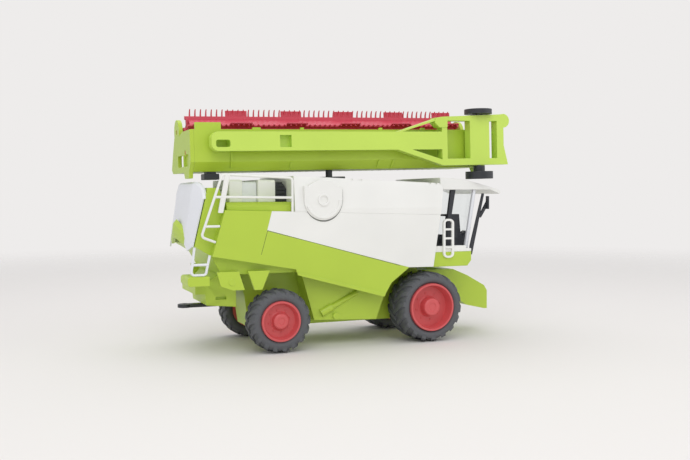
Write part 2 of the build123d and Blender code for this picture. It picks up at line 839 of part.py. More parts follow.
# Rear ladder and the step that it stands on
ladder_low_z = arch_z + 1.0
step_out_y = side_y
with BuildPart() as rear_ladder:
    rounded_bar(
        [
            (body_rear_x - 2.5, arch_z + 17.0),
            (body_rear_x - 6.0, ladder_low_z),
            (body_rear_x - 18.0, ladder_low_z),
            (body_rear_x - 14.9, arch_z + 23.6),
        ],
        2.5,
        rail_r,
        rail_plane,
    )
    rounded_bar(
        [(body_rear_x - 4.3, ladder_low_z + 8.5), (body_rear_x - 16.8, ladder_low_z + 8.5)], 0, rail_r, rail_plane
    )
save(rear_ladder, "rear_ladder")

with BuildPart() as rear_step:
    side_prism(
        [
            (body_rear_x - 21.0, step_low_z),
            (body_rear_x - 3.0, step_low_z),
            (body_rear_x - 3.0, ladder_low_z - rail_r),
            (body_rear_x - 21.0, ladder_low_z - rail_r),
        ],
        step_out_y,
        chute_half_w,
    )
    fillet(rear_step.edges().filter_by(Axis.Y).group_by(Axis.X)[0], 2.5)
save(rear_step, "rear_step")

# Cab platform, the green floor over the front wheels, with the white sill tray on it
sill_floor_t = 2.7
sill_wall_h = 2.8
sill_wall_t = 2.0
platform_half_w = side_y - 4.0
platform_top_z = cab_floor_z - sill_floor_t
platform_front_x = cab_foot_x + 1.0
sill_top_z = cab_floor_z + sill_wall_h


def wall_x(z):
    """Where the body's front wall, which leans forward, stands at a height z."""
    return tank_front_x - 6.0 * (ridge_front_z - z) / (ridge_front_z - arch_z)


with BuildPart() as cab_platform:
    side_prism(
        [
            (wall_x(arch_z), arch_z),
            (platform_front_x - 4.0, arch_z),
            (platform_front_x, arch_z + 5.0),
            (platform_front_x, platform_top_z),
            (wall_x(platform_top_z), platform_top_z),
        ],
        platform_half_w,
        -platform_half_w,
    )
save(cab_platform, "cab_platform")

with BuildPart() as cab_sill:
    side_prism(
        [
            (wall_x(platform_top_z), platform_top_z),
            (platform_front_x, platform_top_z),
            (platform_front_x, cab_floor_z),
            (wall_x(cab_floor_z), cab_floor_z),
        ],
        platform_half_w,
        -platform_half_w,
    )
    for y_out in (platform_half_w, sill_wall_t - platform_half_w):
        side_prism(
            [
                (wall_x(cab_floor_z), cab_floor_z),
                (cab_foot_x - 4.4, cab_floor_z),
                (cab_foot_x - 4.4, sill_top_z),
                (wall_x(sill_top_z), sill_top_z),
            ],
            y_out,
            y_out - sill_wall_t,
        )
    with BuildSketch(Plane.XY.offset(platform_top_z)):
        with BuildLine():
            ThreePointArc((cab_foot_x, -cab_half_w), (cab_foot_x + glass_bulge, 0), (cab_foot_x, cab_half_w))
            Line((cab_foot_x, cab_half_w), (cab_foot_x, -cab_half_w))
        make_face()
    extrude(amount=sill_floor_t)
save(cab_sill, "cab_sill")

# Cab frame: rear wall, slanted posts at the door and at the windscreen
back_t = 2.5
back_head_x = tank_front_x + 3.8
door_foot_x = cab_foot_x - 25.0
door_head_x = cab_head_x - 26.5
with BuildPart() as cab_frame:
    side_prism(
        [
            (wall_x(cab_floor_z), cab_floor_z),
            (wall_x(cab_floor_z) + back_t, cab_floor_z),
            (tank_front_x + back_t, ridge_front_z),
            (back_head_x + back_t, roof_under_z + 1.5),
            (back_head_x, roof_under_z + 1.5),
            (tank_front_x, ridge_front_z),
        ],
        cab_half_w,
        -cab_half_w,
    )
    for y_out in (cab_half_w, post_w - cab_half_w):
        # columns: foot x, head x of each post's front edge, its width at the head
        for foot_x, head_x, head_w in ((cab_foot_x, cab_head_x, post_w), (door_foot_x + post_w, door_head_x + 5.0, 5.0)):
            side_prism(
                [
                    (foot_x - post_w, cab_floor_z),
                    (foot_x, cab_floor_z),
                    (head_x, roof_under_z),
                    (head_x - head_w, roof_under_z),
                ],
                y_out,
                y_out - post_w,
            )
save(cab_frame, "cab_frame")

# Windscreen: one curved pane between the front posts
glass_in = 0.2
with BuildPart() as windscreen:
    for mode, shrink in ((Mode.ADD, 0.0), (Mode.SUBTRACT, glass_t)):
        for z, x in ((cab_floor_z, cab_foot_x), (roof_under_z, cab_head_x)):
            with BuildSketch(Plane.XY.offset(z)):
                with BuildLine():
                    right_edge = (x, glass_in + shrink - cab_half_w)
                    left_edge = (x, cab_half_w - glass_in - shrink)
                    ThreePointArc(right_edge, (x + glass_bulge - shrink, 0), left_edge)
                    Line(left_edge, right_edge)
                make_face()
        loft(mode=mode)
save(windscreen, "windscreen")

# Cab roof, thick at the rear and thin at its front edge
visor_tip_x = cab_head_x + visor_long
visor_tip_z = roof_under_z - 2.0
roof_half_w = cab_half_w + 2.0
with BuildPart() as cab_roof:
    side_prism(
        [
            (back_head_x + 0.1, roof_under_z + 1.5),
            (back_head_x - 0.8, roof_rear_z),
            (cab_head_x - 14.0, roof_rear_z - 1.5),
            (visor_tip_x - 4.0, visor_tip_z + 2.5),
            (visor_tip_x, visor_tip_z),
            (visor_tip_x - 2.0, visor_tip_z - 2.0),
            (cab_head_x + glass_bulge + 2.0, roof_under_z),
            (back_head_x + back_t + 0.1, roof_under_z),
            (back_head_x + back_t + 0.1, roof_under_z + 1.5),
        ],
        roof_half_w,
        -roof_half_w,
    )
save(cab_roof, "cab_roof")

# Seat, console and steering wheel
seat_x = tank_front_x + 22.0
seat_half_w = 9.0
cushion_z = cab_floor_z + 11.0
backrest_z = cab_floor_z + 30.0
with BuildPart() as cab_seat:
    side_prism(
        [
            (seat_x - 5.0, cab_floor_z),
            (seat_x + 4.0, cab_floor_z),
            (seat_x + 4.0, cushion_z - 5.0),
            (seat_x + 8.0, cushion_z - 4.0),
            (seat_x + 8.0, cushion_z),
            (seat_x - 3.0, cushion_z),
            (seat_x - 6.0, backrest_z),
            (seat_x - 10.0, backrest_z),
            (seat_x - 8.0, cushion_z - 5.0),
            (seat_x - 5.0, cushion_z - 5.0),
        ],
        seat_half_w,
        -seat_half_w,
    )
save(cab_seat, "cab_seat")

wheel_hub = (cab_foot_x + 4.0, 0, cab_floor_z + 27.0)
wheel_r = 8.0
wheel_bar = 1.6
wheel_lean = -0.35
with BuildPart() as steering_column:
    side_prism(
        [
            (wheel_hub[0] - 2.0, cab_floor_z),
            (wheel_hub[0] + 5.0, cab_floor_z),
            (wheel_hub[0] + 4.0, wheel_hub[2] - 4.0),
            (wheel_hub[0] - 1.0, wheel_hub[2] - 4.0),
        ],
        4.0,
        -4.0,
    )
    with BuildSketch(Plane(origin=wheel_hub, z_dir=(wheel_lean, 0, 1))):
        Circle(wheel_r)
        Circle(wheel_r - wheel_bar, mode=Mode.SUBTRACT)
        Rectangle(2 * wheel_r - wheel_bar, wheel_bar)
        Circle(1.2 * wheel_bar)
    extrude(amount=wheel_bar)
    with BuildSketch(Plane(origin=wheel_hub, z_dir=(wheel_lean, 0, 1))):
        Circle(wheel_bar)
    extrude(amount=-6.0)
save(steering_column, "steering_column")

# Side ladder by the cab door, an arch with rungs on the platform's side
side_ladder_x = tank_front_x + 12.6
side_ladder_w = 9.6
side_ladder_low_z = platform_top_z - 5.3
side_ladder_h = 35.5
side_ladder_bar = 1.9
rung_h = 1.8
with BuildPart() as cab_ladder:
    ladder_mid_z = side_ladder_low_z + side_ladder_h / 2
    with BuildSketch(Plane.XZ.offset(platform_half_w)):
        with Locations((side_ladder_x, ladder_mid_z)):
            RectangleRounded(side_ladder_w, side_ladder_h, 4.0)
            RectangleRounded(side_ladder_w - 2 * side_ladder_bar, side_ladder_h - 2 * side_ladder_bar, 2.0, mode=Mode.SUBTRACT)
        # columns: where each rung lies up the ladder
        for share in (0.27, 0.5, 0.73):
            with Locations((side_ladder_x, side_ladder_low_z + share * side_ladder_h)):
                Rectangle(side_ladder_w - side_ladder_bar, rung_h)
    extrude(amount=side_ladder_bar)
save_pair(cab_ladder, "cab_ladder")

# Mirror on its bent arm, which stands on the platform's front face
mirror_out_y = cab_half_w + 3.0
mirror_arm_t = 1.8
arm_foot_z = platform_top_z - 3.3
arm_head = (cab_head_x + 6.0, roof_under_z - 3.5)
branch_z = roof_under_z - 25.0
with BuildPart() as mirror_arm:
    side_prism(
        [
            (platform_front_x, arm_foot_z),
            (platform_front_x + 2.0, arm_foot_z),
            (arm_head[0] + 1.0, arm_head[1]),
            (arm_head[0] - 1.0, arm_head[1]),
            (platform_front_x, arm_foot_z + 8.0),
        ],
        mirror_out_y,
        mirror_out_y - mirror_arm_t,
    )
    side_prism(
        [
            (arm_head[0] - 5.0, branch_z),
            (arm_head[0] - 2.5, branch_z - 1.0),
            (arm_head[0] + 6.5, branch_z + 12.0),
            (arm_head[0] + 4.5, branch_z + 14.0),
        ],
        mirror_out_y,
        mirror_out_y - mirror_arm_t,
    )
    side_prism(
        [
            (arm_head[0] + 3.5, branch_z + 7.0),
            (arm_head[0] + 9.0, branch_z + 7.0),
            (arm_head[0] + 9.0, branch_z + 19.0),
            (arm_head[0] + 3.5, branch_z + 19.0),
        ],
        mirror_out_y + 2.5,
        mirror_out_y - 1.0,
    )
save_pair(mirror_arm, "mirror_arm")

# Feeder house, on a pin between the hull's cheeks
feeder_barrel_r = 6.0
feeder_face_x = feeder_pivot_x + 52.0
feeder_low_z = feeder_pivot_z - 28.0
with BuildPart() as feeder_house:
    side_prism(
        [
            (feeder_pivot_x + 1.0, feeder_pivot_z + 6.0),
            (feeder_pivot_x + 1.0, feeder_pivot_z - 5.5),
            (feeder_pivot_x + 29.0, feeder_low_z + 4.5),
            (feeder_pivot_x + 49.0, feeder_low_z),
            (feeder_face_x, feeder_low_z),
            (feeder_face_x, feeder_pivot_z - 10.5),
            (feeder_pivot_x + 48.8, feeder_pivot_z - 5.4),
            (feeder_pivot_x + 29.9, feeder_pivot_z + 5.1),
            (feeder_pivot_x + 14.6, feeder_pivot_z + 11.5),
            (feeder_pivot_x + 9.0, feeder_pivot_z + 11.0),
        ],
        feeder_half_w,
        -feeder_half_w,
    )
    with Locations((feeder_pivot_x, 0, feeder_pivot_z)):
        Cylinder(feeder_barrel_r, 2 * feeder_half_w, rotation=(90, 0, 0))
        Cylinder(feeder_pin_r, 2 * cheek_y, rotation=(90, 0, 0))
save(feeder_house, "feeder_house")

# Unloading auger folded back along the left side, on its turret
tube_rear_x = body_rear_x + 23.0
turret_low_z = ridge_z(turret_x - auger_r) + 0.02
with BuildPart() as auger_turret:
    with BuildSketch(Plane.XY.offset(turret_low_z)):
        with Locations((turret_x, side_y)):
            Circle(auger_r)
    extrude(amount=groove_z - auger_r - running_gap - turret_low_z)
save(auger_turret, "auger_turret")

with BuildPart() as unloading_auger:
    with Locations(((turret_x + tube_rear_x) / 2, side_y, groove_z)):
        Cylinder(auger_r - 0.2, turret_x - tube_rear_x, rotation=(0, 90, 0))
    with Locations((turret_x, side_y, groove_z)):
        Cylinder(auger_r, 2 * auger_r - 0.3)
    with Locations((tube_rear_x, side_y, groove_z - 2.0)):
        Cylinder(auger_r, 2 * auger_r)
save(unloading_auger, "unloading_auger")

# Header trough: a back wall with ribs and bumps, a rounded corner round the auger, and the floor
corner_w = 7.0
corner_h = 7.9
bowl_r = 14.0
bowl_y = header_back_y + trough_t + bowl_r
bowl_z = header_base_z + 2.3 + bowl_r
rib_out = 1.5
rib_long = 1.6
inner_rear_x = header_rear_x + end_t
inner_front_x = header_front_x - end_t


def face_y(rise):
    """Where the outer face of the header's back wall stands at a height over its base."""
    return header_back_y + corner_w * max(0.0, 1.0 - rise / corner_h)


with BuildPart() as header_trough:
    with BuildSketch(Plane.YZ.offset(inner_rear_x)) as trough_section:
        with BuildLine():
            Polyline(
                (bowl_y - bowl_r, bowl_z),
                (bowl_y - bowl_r, header_top_z),
                (header_back_y, header_top_z),
                (header_back_y, header_base_z + corner_h),
                (header_back_y + corner_w, header_base_z),
                (header_lip_y, header_base_z),
                (header_lip_y, header_base_z + 2.0),
                (bowl_y, bowl_z - bowl_r),
            )
            ThreePointArc(
                (bowl_y, bowl_z - bowl_r),
                (bowl_y - bowl_r * cos(radians(45)), bowl_z - bowl_r * sin(radians(45))),
                (bowl_y - bowl_r, bowl_z),
            )
        make_face()
    extrude(trough_section.sketch, amount=inner_front_x - inner_rear_x)
    # columns: middle of each bump on the top edge, its length, its height
    for x, long, high in (
        (-124.5, 22.0, 5.8),
        (-82.5, 7.0, 1.6),
        (-41.5, 3.0, 1.6),
        (33.2, 3.0, 1.6),
        (75.6, 4.0, 1.6),
    ):
        with Locations((x, header_back_y + trough_t / 2, header_top_z + high / 2)):
            Box(long, trough_t, high)
    # columns: x of each rib on the outer face, its lowest and its highest point over the base
    for x, low, high in ((-105.2, 3.0, 16.0), (-52.4, 1.5, 6.5), (31.0, 1.0, 7.5), (45.0, 1.0, 7.5)):
        heights = [low, high] if high < corner_h else [low, corner_h, high]
        faces = [(face_y(h), header_base_z + h) for h in heights]
        cross_prism(
            [(y - rib_out, z) for y, z in faces] + [(y + 1.0, z) for y, z in reversed(faces)],
            x - rib_long / 2,
            x + rib_long / 2,
        )
save_stowed(header_trough, "header_trough")

# Header end walls, with the reel's bearing boss, a window, a pocket and a pointed divider
lobe_low_z = header_base_z - 5.4
bearing_r = 11.0
window_mid = (header_back_y + 41.5, header_base_z + 9.9)
window_long = 23.0
window_h = 10.0
pocket_mid = (header_back_y + 17.5, header_base_z + 9.9)
pocket_long = 19.0
pocket_in = 1.8
end_outline = [
    (header_back_y, header_top_z),
    (header_back_y, header_base_z + corner_h),
    (header_back_y + corner_w, header_base_z),
    (header_back_y + 9.0, lobe_low_z),
    (header_back_y + 25.0, lobe_low_z),
    (header_back_y + 29.0, header_base_z),
    (header_lip_y + 8.0, header_base_z),
    (header_lip_y + 13.0, header_base_z + 3.4),
    (header_lip_y + 6.0, header_base_z + 16.4),
    (reel_y + bearing_r, reel_z - 4.0),
    (reel_y - bearing_r, reel_z - 4.0),
    (0, header_top_z),
]
# columns: name, x of the wall's rear face, x of its outer face, which way that face looks
for label, end_x, outer_x, side in (
    ("header_end_rear", header_rear_x, header_rear_x, 1),
    ("header_end_front", inner_front_x, header_front_x, -1),
):
    with BuildPart() as header_end:
        with BuildSketch(Plane.YZ.offset(end_x)):
            with BuildLine():
                Polyline(*end_outline, close=True)
            make_face()
            with Locations((reel_y, reel_z)):
                Circle(bearing_r)
            with Locations((reel_y, reel_z), (intake_y, intake_z)):
                Circle(reel_shaft_r + running_gap, mode=Mode.SUBTRACT)
            with Locations(window_mid):
                RectangleRounded(window_long, window_h, 2.0, mode=Mode.SUBTRACT)
        extrude(amount=end_t)
        with BuildSketch(Plane.YZ.offset(outer_x)):
            with Locations(pocket_mid):
                RectangleRounded(pocket_long, window_h, 2.0)
            with Locations((intake_y, intake_z)):
                Circle(reel_shaft_r + 3 * running_gap, mode=Mode.SUBTRACT)
        extrude(amount=side * pocket_in, mode=Mode.SUBTRACT)
    save_stowed(header_end, label)

# Knife bar with its guard fingers
finger_pitch = 7.0
finger_count = 39
finger_long = 6.0
knife_t = 2.0
with BuildPart() as knife_bar:
    with BuildSketch(Plane.XY.offset(header_base_z)):
        with Locations((header_mid_x, header_lip_y + finger_long / 4)):
            Rectangle(inner_front_x - inner_rear_x, finger_long / 2)
        with Locations((header_mid_x, header_lip_y + finger_long / 2)):
            with GridLocations(finger_pitch, 1, finger_count, 1):
                Polygon((-1.4, 0), (1.4, 0), (0.3, finger_long), (-0.3, finger_long), align=None)
    extrude(amount=knife_t)
save_stowed(knife_bar, "knife_bar")

# Intake auger: a drum with flights that lean towards the middle from both ends
drum_r = 5.5
flight_count = 8
flight_pitch = 15.5
flight_start = 14.0
flight_lean = 0.22
flight_t = 1.2
with BuildPart() as intake_auger:
    with Locations((header_mid_x, intake_y, intake_z)):
        Cylinder(drum_r, inner_front_x - inner_rear_x - 2.0, rotation=(0, 90, 0))
        Cylinder(reel_shaft_r, header_w - 1.0, rotation=(0, 90, 0))
    for k in range(flight_count):
        for side in (-1, 1):
            x = header_mid_x + side * (flight_start + k * flight_pitch)
            with BuildSketch(Plane(origin=(x, intake_y, intake_z), z_dir=(1, flight_lean * side, 0))):
                RegularPolygon(intake_r, 20)
            extrude(amount=flight_t)
save_stowed(intake_auger, "intake_auger")

# Reel: a tube with spiders that carry the bats, each with a comb of tines and flat plates
bat_count = 5
bat_turn = 230.0
bat_h = 3.4
bat_t = 1.6
spider_count = 6
spider_t = 2.0
bat_long = inner_front_x - inner_rear_x - 8.0
tine_pitch = 4.9
tine_w = 1.3
tine_count = int(bat_long / tine_pitch)
plate_mid_x = 19.7
plate_pitch = 52.5
plate_long = 20.0
plate_t = 1.0
with BuildPart() as bat:
    with BuildSketch():
        with Locations((header_mid_x, reel_bat_r + 1.0)):
            Rectangle(bat_long, bat_h)
        with Locations((header_mid_x, (reel_bat_r + reel_tip_r) / 2)):
            with GridLocations(tine_pitch, 1, tine_count, 1):
                Rectangle(tine_w, reel_tip_r - reel_bat_r)
        for n in range(-2, 3):
            with Locations((plate_mid_x + n * plate_pitch, (reel_bat_r + reel_tip_r - plate_t) / 2)):
                Rectangle(plate_long, reel_tip_r - reel_bat_r - plate_t)
    extrude(amount=bat_t / 2, both=True)
with BuildPart() as reel:
    with Locations((header_mid_x, reel_y, reel_z)):
        Cylinder(reel_shaft_r, header_w - 1.0, rotation=(0, 90, 0))
    with BuildSketch(Plane.YZ.offset(inner_rear_x + 2.0)):
        with Locations((reel_y, reel_z)):
            RegularPolygon(reel_tube_r, 16)
    extrude(amount=inner_front_x - inner_rear_x - 4.0)
    for k in range(spider_count):
        x = header_mid_x - bat_long / 2 + spider_t + k * (bat_long - 2 * spider_t) / (spider_count - 1)
        with BuildSketch(Plane.YZ.offset(x - spider_t / 2)):
            with Locations((reel_y, reel_z)):
                RegularPolygon(reel_tube_r + spider_t, 16)
                with PolarLocations(reel_bat_r / 2, bat_count, start_angle=bat_turn):
                    Rectangle(reel_bat_r + 1.0, 3.0)
        extrude(amount=spider_t)
    for k in range(bat_count):
        with Locations(Pos(0, reel_y, reel_z) * Rot(bat_turn + k * 360 / bat_count, 0, 0)):
            add(bat.part)
save_stowed(reel, "reel")

# Black feet under the header: a rear pad and a wide disc in the middle
foot_y = header_back_y + 13.0
pad_x = -121.0
pad_low_z = header_base_z - 6.9
disc_x = -13.0
disc_r = 14.5
disc_low_z = header_base_z - 8.2
disc_h = 1.8
with BuildPart() as header_feet:
    with Locations((pad_x, foot_y, (pad_low_z + header_base_z) / 2)):
        Box(8.0, 10.0, header_base_z - pad_low_z)
    with Locations((pad_x, foot_y, pad_low_z + 2.5)):
        Box(13.0, 13.0, 5.0)
    with Locations((disc_x, foot_y, (disc_low_z + header_base_z) / 2)):
        Cylinder(3.0, header_base_z - disc_low_z)
    with Locations((disc_x, foot_y, disc_low_z + disc_h / 2)):
        Cylinder(disc_r, disc_h)
save_stowed(header_feet, "header_feet")

# Carriage frame: beam with its towing loop and socket, braces, and the axle frame
beam_low_z = beam_mid_z - beam_h / 2
beam_top_z = beam_mid_z + beam_h / 2
loop_r = 6.0
slot_rear_x = beam_rear_x + 3.6
slot_front_x = slot_rear_x + 12.1
slot_low_z = beam_low_z + 3.2
slot_top_z = slot_low_z + 6.1
socket_x = -61.3
socket_size = 10.2
socket_in = 6.0
brace_rear_x = 40.5
rib_foot = (brace_rear_x, beam_top_z - 1.0)
rib_head = (frame_rear_x - 1.8, frame_high_z - 1.9)
thin_t = 2.2
low_brace_h = 5.0
bay_rear_x = frame_rear_x + 5.3
bay_front_x = bay_rear_x + 23.9
bay_low_z = frame_low_z + 6.0
bay_top_z = bay_low_z + 34.6
gap_rear_x = bay_front_x + 20.5
gap_front_x = gap_rear_x + 8.2
axle_boss_mid_x = (bay_front_x + gap_rear_x) / 2
post_front_x = gap_front_x + 7.2
boss_mid = (frame_front_x - 4.5, frame_high_z - 4.9)
boss_round = 6.4
plate_out = 0.8
carriage_axle_y = (carriage_in_y + carriage_out_y) / 2
spacer_size = 6.0


def carriage_prism(points, y_out=-carriage_out_y, y_in=-carriage_in_y, mode=Mode.ADD):
    """Add or cut a prism of the carriage, by default as thick as the whole carriage."""
    side_prism(points, y_out, y_in, mode)


def rectangle_points(x_rear, x_front, z_low, z_top):
    """The corners of an upright rectangle in side view."""
    return [(x_rear, z_low), (x_front, z_low), (x_front, z_top), (x_rear, z_top)]


with BuildPart() as carriage_frame:
    carriage_prism(rectangle_points(beam_rear_x + loop_r, frame_rear_x + 1.0, beam_low_z, beam_top_z))
    carriage_prism(rectangle_points(beam_rear_x, beam_rear_x + 2 * loop_r, beam_low_z + loop_r, beam_top_z - loop_r))
    for z in (beam_low_z + loop_r, beam_top_z - loop_r):
        with Locations((beam_rear_x + loop_r, carriage_axle_y, z)):
            Cylinder(loop_r, carriage_t, rotation=(90, 0, 0))
    carriage_prism(
        [
            rib_foot,
            (brace_rear_x + 4.0, beam_top_z - 1.0),
            (rib_head[0], rib_head[1] - thin_t),
            (frame_rear_x + 1.0, rib_head[1] - thin_t),
            (frame_rear_x + 1.0, rib_head[1]),
            rib_head,
        ]
    )
    carriage_prism(
        [
            (brace_rear_x, beam_low_z + 1.0),
            (frame_rear_x + 1.0, frame_low_z),
            (frame_rear_x + 1.0, frame_low_z + low_brace_h),
            (brace_rear_x + 14.0, beam_low_z + 1.0),
        ]
    )
    carriage_prism(
        [
            (frame_rear_x, frame_low_z),
            (frame_front_x, frame_low_z),
            (post_front_x, frame_low_z + 18.0),
            (post_front_x, boss_mid[1] - boss_round),
            (boss_mid[0] + 4.0, boss_mid[1] - 5.0),
            (boss_mid[0], frame_high_z + 1.2),
            (frame_rear_x, frame_high_z - 1.6),
        ]
    )
    with Locations((boss_mid[0], carriage_axle_y, boss_mid[1])):
        Cylinder(boss_round, carriage_t, rotation=(90, 0, 0))
    carriage_prism(
        [
            (rib_head[0] - 4.7, frame_low_z + 43.2),
            (frame_rear_x + 6.3, frame_low_z + 43.8),
            (frame_rear_x + 6.3, frame_low_z + 34.9),
            (frame_rear_x - 2.5, frame_low_z + 34.3),
            (rib_head[0] - 5.7, frame_low_z + 38.7),
        ],
        plate_out - carriage_out_y,
    )
    for x_rear, x_front in ((bay_rear_x, bay_front_x), (gap_rear_x, gap_front_x)):
        side_prism(
            rectangle_points(x_rear, x_front, bay_low_z, bay_top_z),
            2 * plate_out - carriage_out_y,
            -carriage_in_y,
            Mode.SUBTRACT,
        )
    with BuildSketch(Plane.XZ.offset(-carriage_in_y)):
        with Locations(((slot_rear_x + slot_front_x) / 2, (slot_low_z + slot_top_z) / 2)):
            RectangleRounded(slot_front_x - slot_rear_x, slot_top_z - slot_low_z, 2.0)
    extrude(amount=carriage_t, mode=Mode.SUBTRACT)
    with Locations((socket_x, carriage_out_y, beam_mid_z)):
        Box(socket_size, 2 * socket_in, socket_size, mode=Mode.SUBTRACT)
    with Locations((carriage_axle_x, carriage_axle_y, frame_low_z + frame_h / 2)):
        Cylinder(axle_r + running_gap, 2 * frame_h, mode=Mode.SUBTRACT)
    for x in (-90.0, -20.0, 60.0):
        with Locations((x, (carriage_in_y + header_back_y) / 2, beam_mid_z)):
            Box(spacer_size, header_back_y - carriage_in_y, spacer_size)
save_stowed(carriage_frame, "carriage_frame")

# Carriage axle with its two wheels, the low one on a thick hub
low_wheel_z = frame_low_z - 6.0 - carriage_wheel_w
high_wheel_z = frame_high_z + 1.6
low_hub_r = 5.4
axle_end = 1.0
with BuildPart() as carriage_axle:
    with Locations((carriage_axle_x, carriage_axle_y, (low_wheel_z + high_wheel_z + carriage_wheel_w) / 2)):
        Cylinder(axle_r, high_wheel_z + carriage_wheel_w - low_wheel_z - 2 * axle_end)
save_stowed(carriage_axle, "carriage_axle")
# columns: name, height of the wheel's lower face, length of its hub above and below it
for label, z, hub_up, hub_down in (
    ("carriage_wheel_low", low_wheel_z, frame_low_z - low_wheel_z - carriage_wheel_w - 2 * running_gap, 0.0),
    ("carriage_wheel_high", high_wheel_z, 0.0, 0.6),
):
    with BuildPart() as carriage_wheel:
        with Locations((carriage_axle_x, carriage_axle_y, z + carriage_wheel_w / 2)):
            Cylinder(carriage_wheel_r, carriage_wheel_w)
        with Locations((carriage_axle_x, carriage_axle_y, z + (carriage_wheel_w + hub_up - hub_down) / 2)):
            Cylinder(low_hub_r, carriage_wheel_w + hub_up + hub_down)
            Cylinder(axle_r + fit, 2 * (carriage_wheel_w + hub_up), mode=Mode.SUBTRACT)
    save_stowed(carriage_wheel, label)
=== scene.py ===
# %% [markdown]
# A toy combine harvester, with its cutting header stowed over the roof.
#
# The solids that move and carry load are loaded as a frame. Each one is then dressed: its
# edges get the small round that a mould leaves, and its surface gets a moulded plastic that
# is made of nodes. Blender works in metres, and most sizes below are written in millimetres
# times MM.

# %% Load the frame
import json
import math

import bmesh
import bpy
from mathutils import Matrix, Quaternion, Vector

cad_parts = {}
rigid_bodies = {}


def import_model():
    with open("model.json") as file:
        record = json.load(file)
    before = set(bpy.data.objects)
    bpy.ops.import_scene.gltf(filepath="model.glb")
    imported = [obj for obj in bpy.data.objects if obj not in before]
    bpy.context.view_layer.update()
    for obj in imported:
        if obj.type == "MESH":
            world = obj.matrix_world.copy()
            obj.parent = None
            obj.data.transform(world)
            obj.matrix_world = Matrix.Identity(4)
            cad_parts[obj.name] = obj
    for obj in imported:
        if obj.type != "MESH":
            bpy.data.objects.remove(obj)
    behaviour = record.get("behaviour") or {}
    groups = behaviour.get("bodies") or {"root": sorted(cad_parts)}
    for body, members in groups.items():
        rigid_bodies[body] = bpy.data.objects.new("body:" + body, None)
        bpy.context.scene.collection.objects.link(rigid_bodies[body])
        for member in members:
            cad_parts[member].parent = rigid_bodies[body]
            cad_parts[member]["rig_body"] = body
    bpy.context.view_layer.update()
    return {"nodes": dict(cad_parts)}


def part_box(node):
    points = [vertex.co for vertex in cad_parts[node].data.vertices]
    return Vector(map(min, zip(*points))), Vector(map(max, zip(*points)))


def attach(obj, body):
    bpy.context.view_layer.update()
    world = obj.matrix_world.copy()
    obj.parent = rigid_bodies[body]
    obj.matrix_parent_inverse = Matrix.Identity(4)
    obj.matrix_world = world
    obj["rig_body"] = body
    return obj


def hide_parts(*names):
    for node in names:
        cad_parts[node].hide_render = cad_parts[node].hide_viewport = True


MM = 0.001

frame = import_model()
nodes = frame["nodes"]
body_of_node = {name: piece["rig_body"] for name, piece in nodes.items()}
slot_of_node = {name: piece.data.materials[0].name for name, piece in nodes.items()}
print("slots", sorted(set(slot_of_node.values())))

# %% [markdown]
# The toy has few colours, one for each kind of plastic. They are written as they look on a
# screen and turned to linear values, because shaders work in linear light.


# %% Colours of the plastics
def linear(*screen):
    """A colour given as screen values from 0 to 255, in linear light, by the sRGB curve."""
    shares = [value / 255 for value in screen]
    return tuple(s / 12.92 if s <= 0.04045 else ((s + 0.055) / 1.055) ** 2.4 for s in shares) + (1.0,)


LIME = linear(182, 208, 66)
BRIGHT_LIME = linear(196, 224, 92)
WARM_WHITE = linear(238, 238, 234)
COOL_WHITE = linear(232, 234, 239)
RIM_RED = linear(209, 88, 90)
REEL_RED = linear(207, 72, 90)
SOOT_BLACK = linear(44, 46, 52)
CABIN_GREY = linear(64, 67, 74)
TYRE_GREY = linear(88, 90, 94)
STEEL_GREY = linear(150, 152, 156)
WATER_CLEAR = linear(246, 250, 250)
print("lime in linear light", [round(share, 3) for share in LIME])

# %% [markdown]
# Moulded plastic isn't flat: the mould's fine grain breaks up the gloss, the colour drifts a
# little where the plastic cooled at different speeds, and handling rubs the raised edges
# until they are paler and smoother. All materials share these effects, so each effect is a
# node group with its own inputs, built once.


# %% A helper for node groups
def node_group(name, inputs, outputs):
    """An empty shader group with named sockets, each given as (name, type, default)."""
    group = bpy.data.node_groups.new(name, "ShaderNodeTree")
    for title, kind, default in inputs:
        socket = group.interface.new_socket(name=title, in_out="INPUT", socket_type=kind)
        socket.default_value = default
    for title, kind in outputs:
        group.interface.new_socket(name=title, in_out="OUTPUT", socket_type=kind)
    return group, group.nodes.new("NodeGroupInput"), group.nodes.new("NodeGroupOutput")


def add(tree, kind, **settings):
    """A new node in a tree; a setting that names an input gives that input's value."""
    node = tree.nodes.new(kind)
    for key, value in settings.items():
        if hasattr(node, key):
            setattr(node, key, value)
        else:
            node.inputs[key.replace("_", " ")].default_value = value
    return node


print("helpers ready")

# %% [markdown]
# The grain is a fine noise that shifts the gloss and feeds the bump, and the drift is a slow
# noise that darkens the colour. An image could hold both, but noise has no seams and no end.


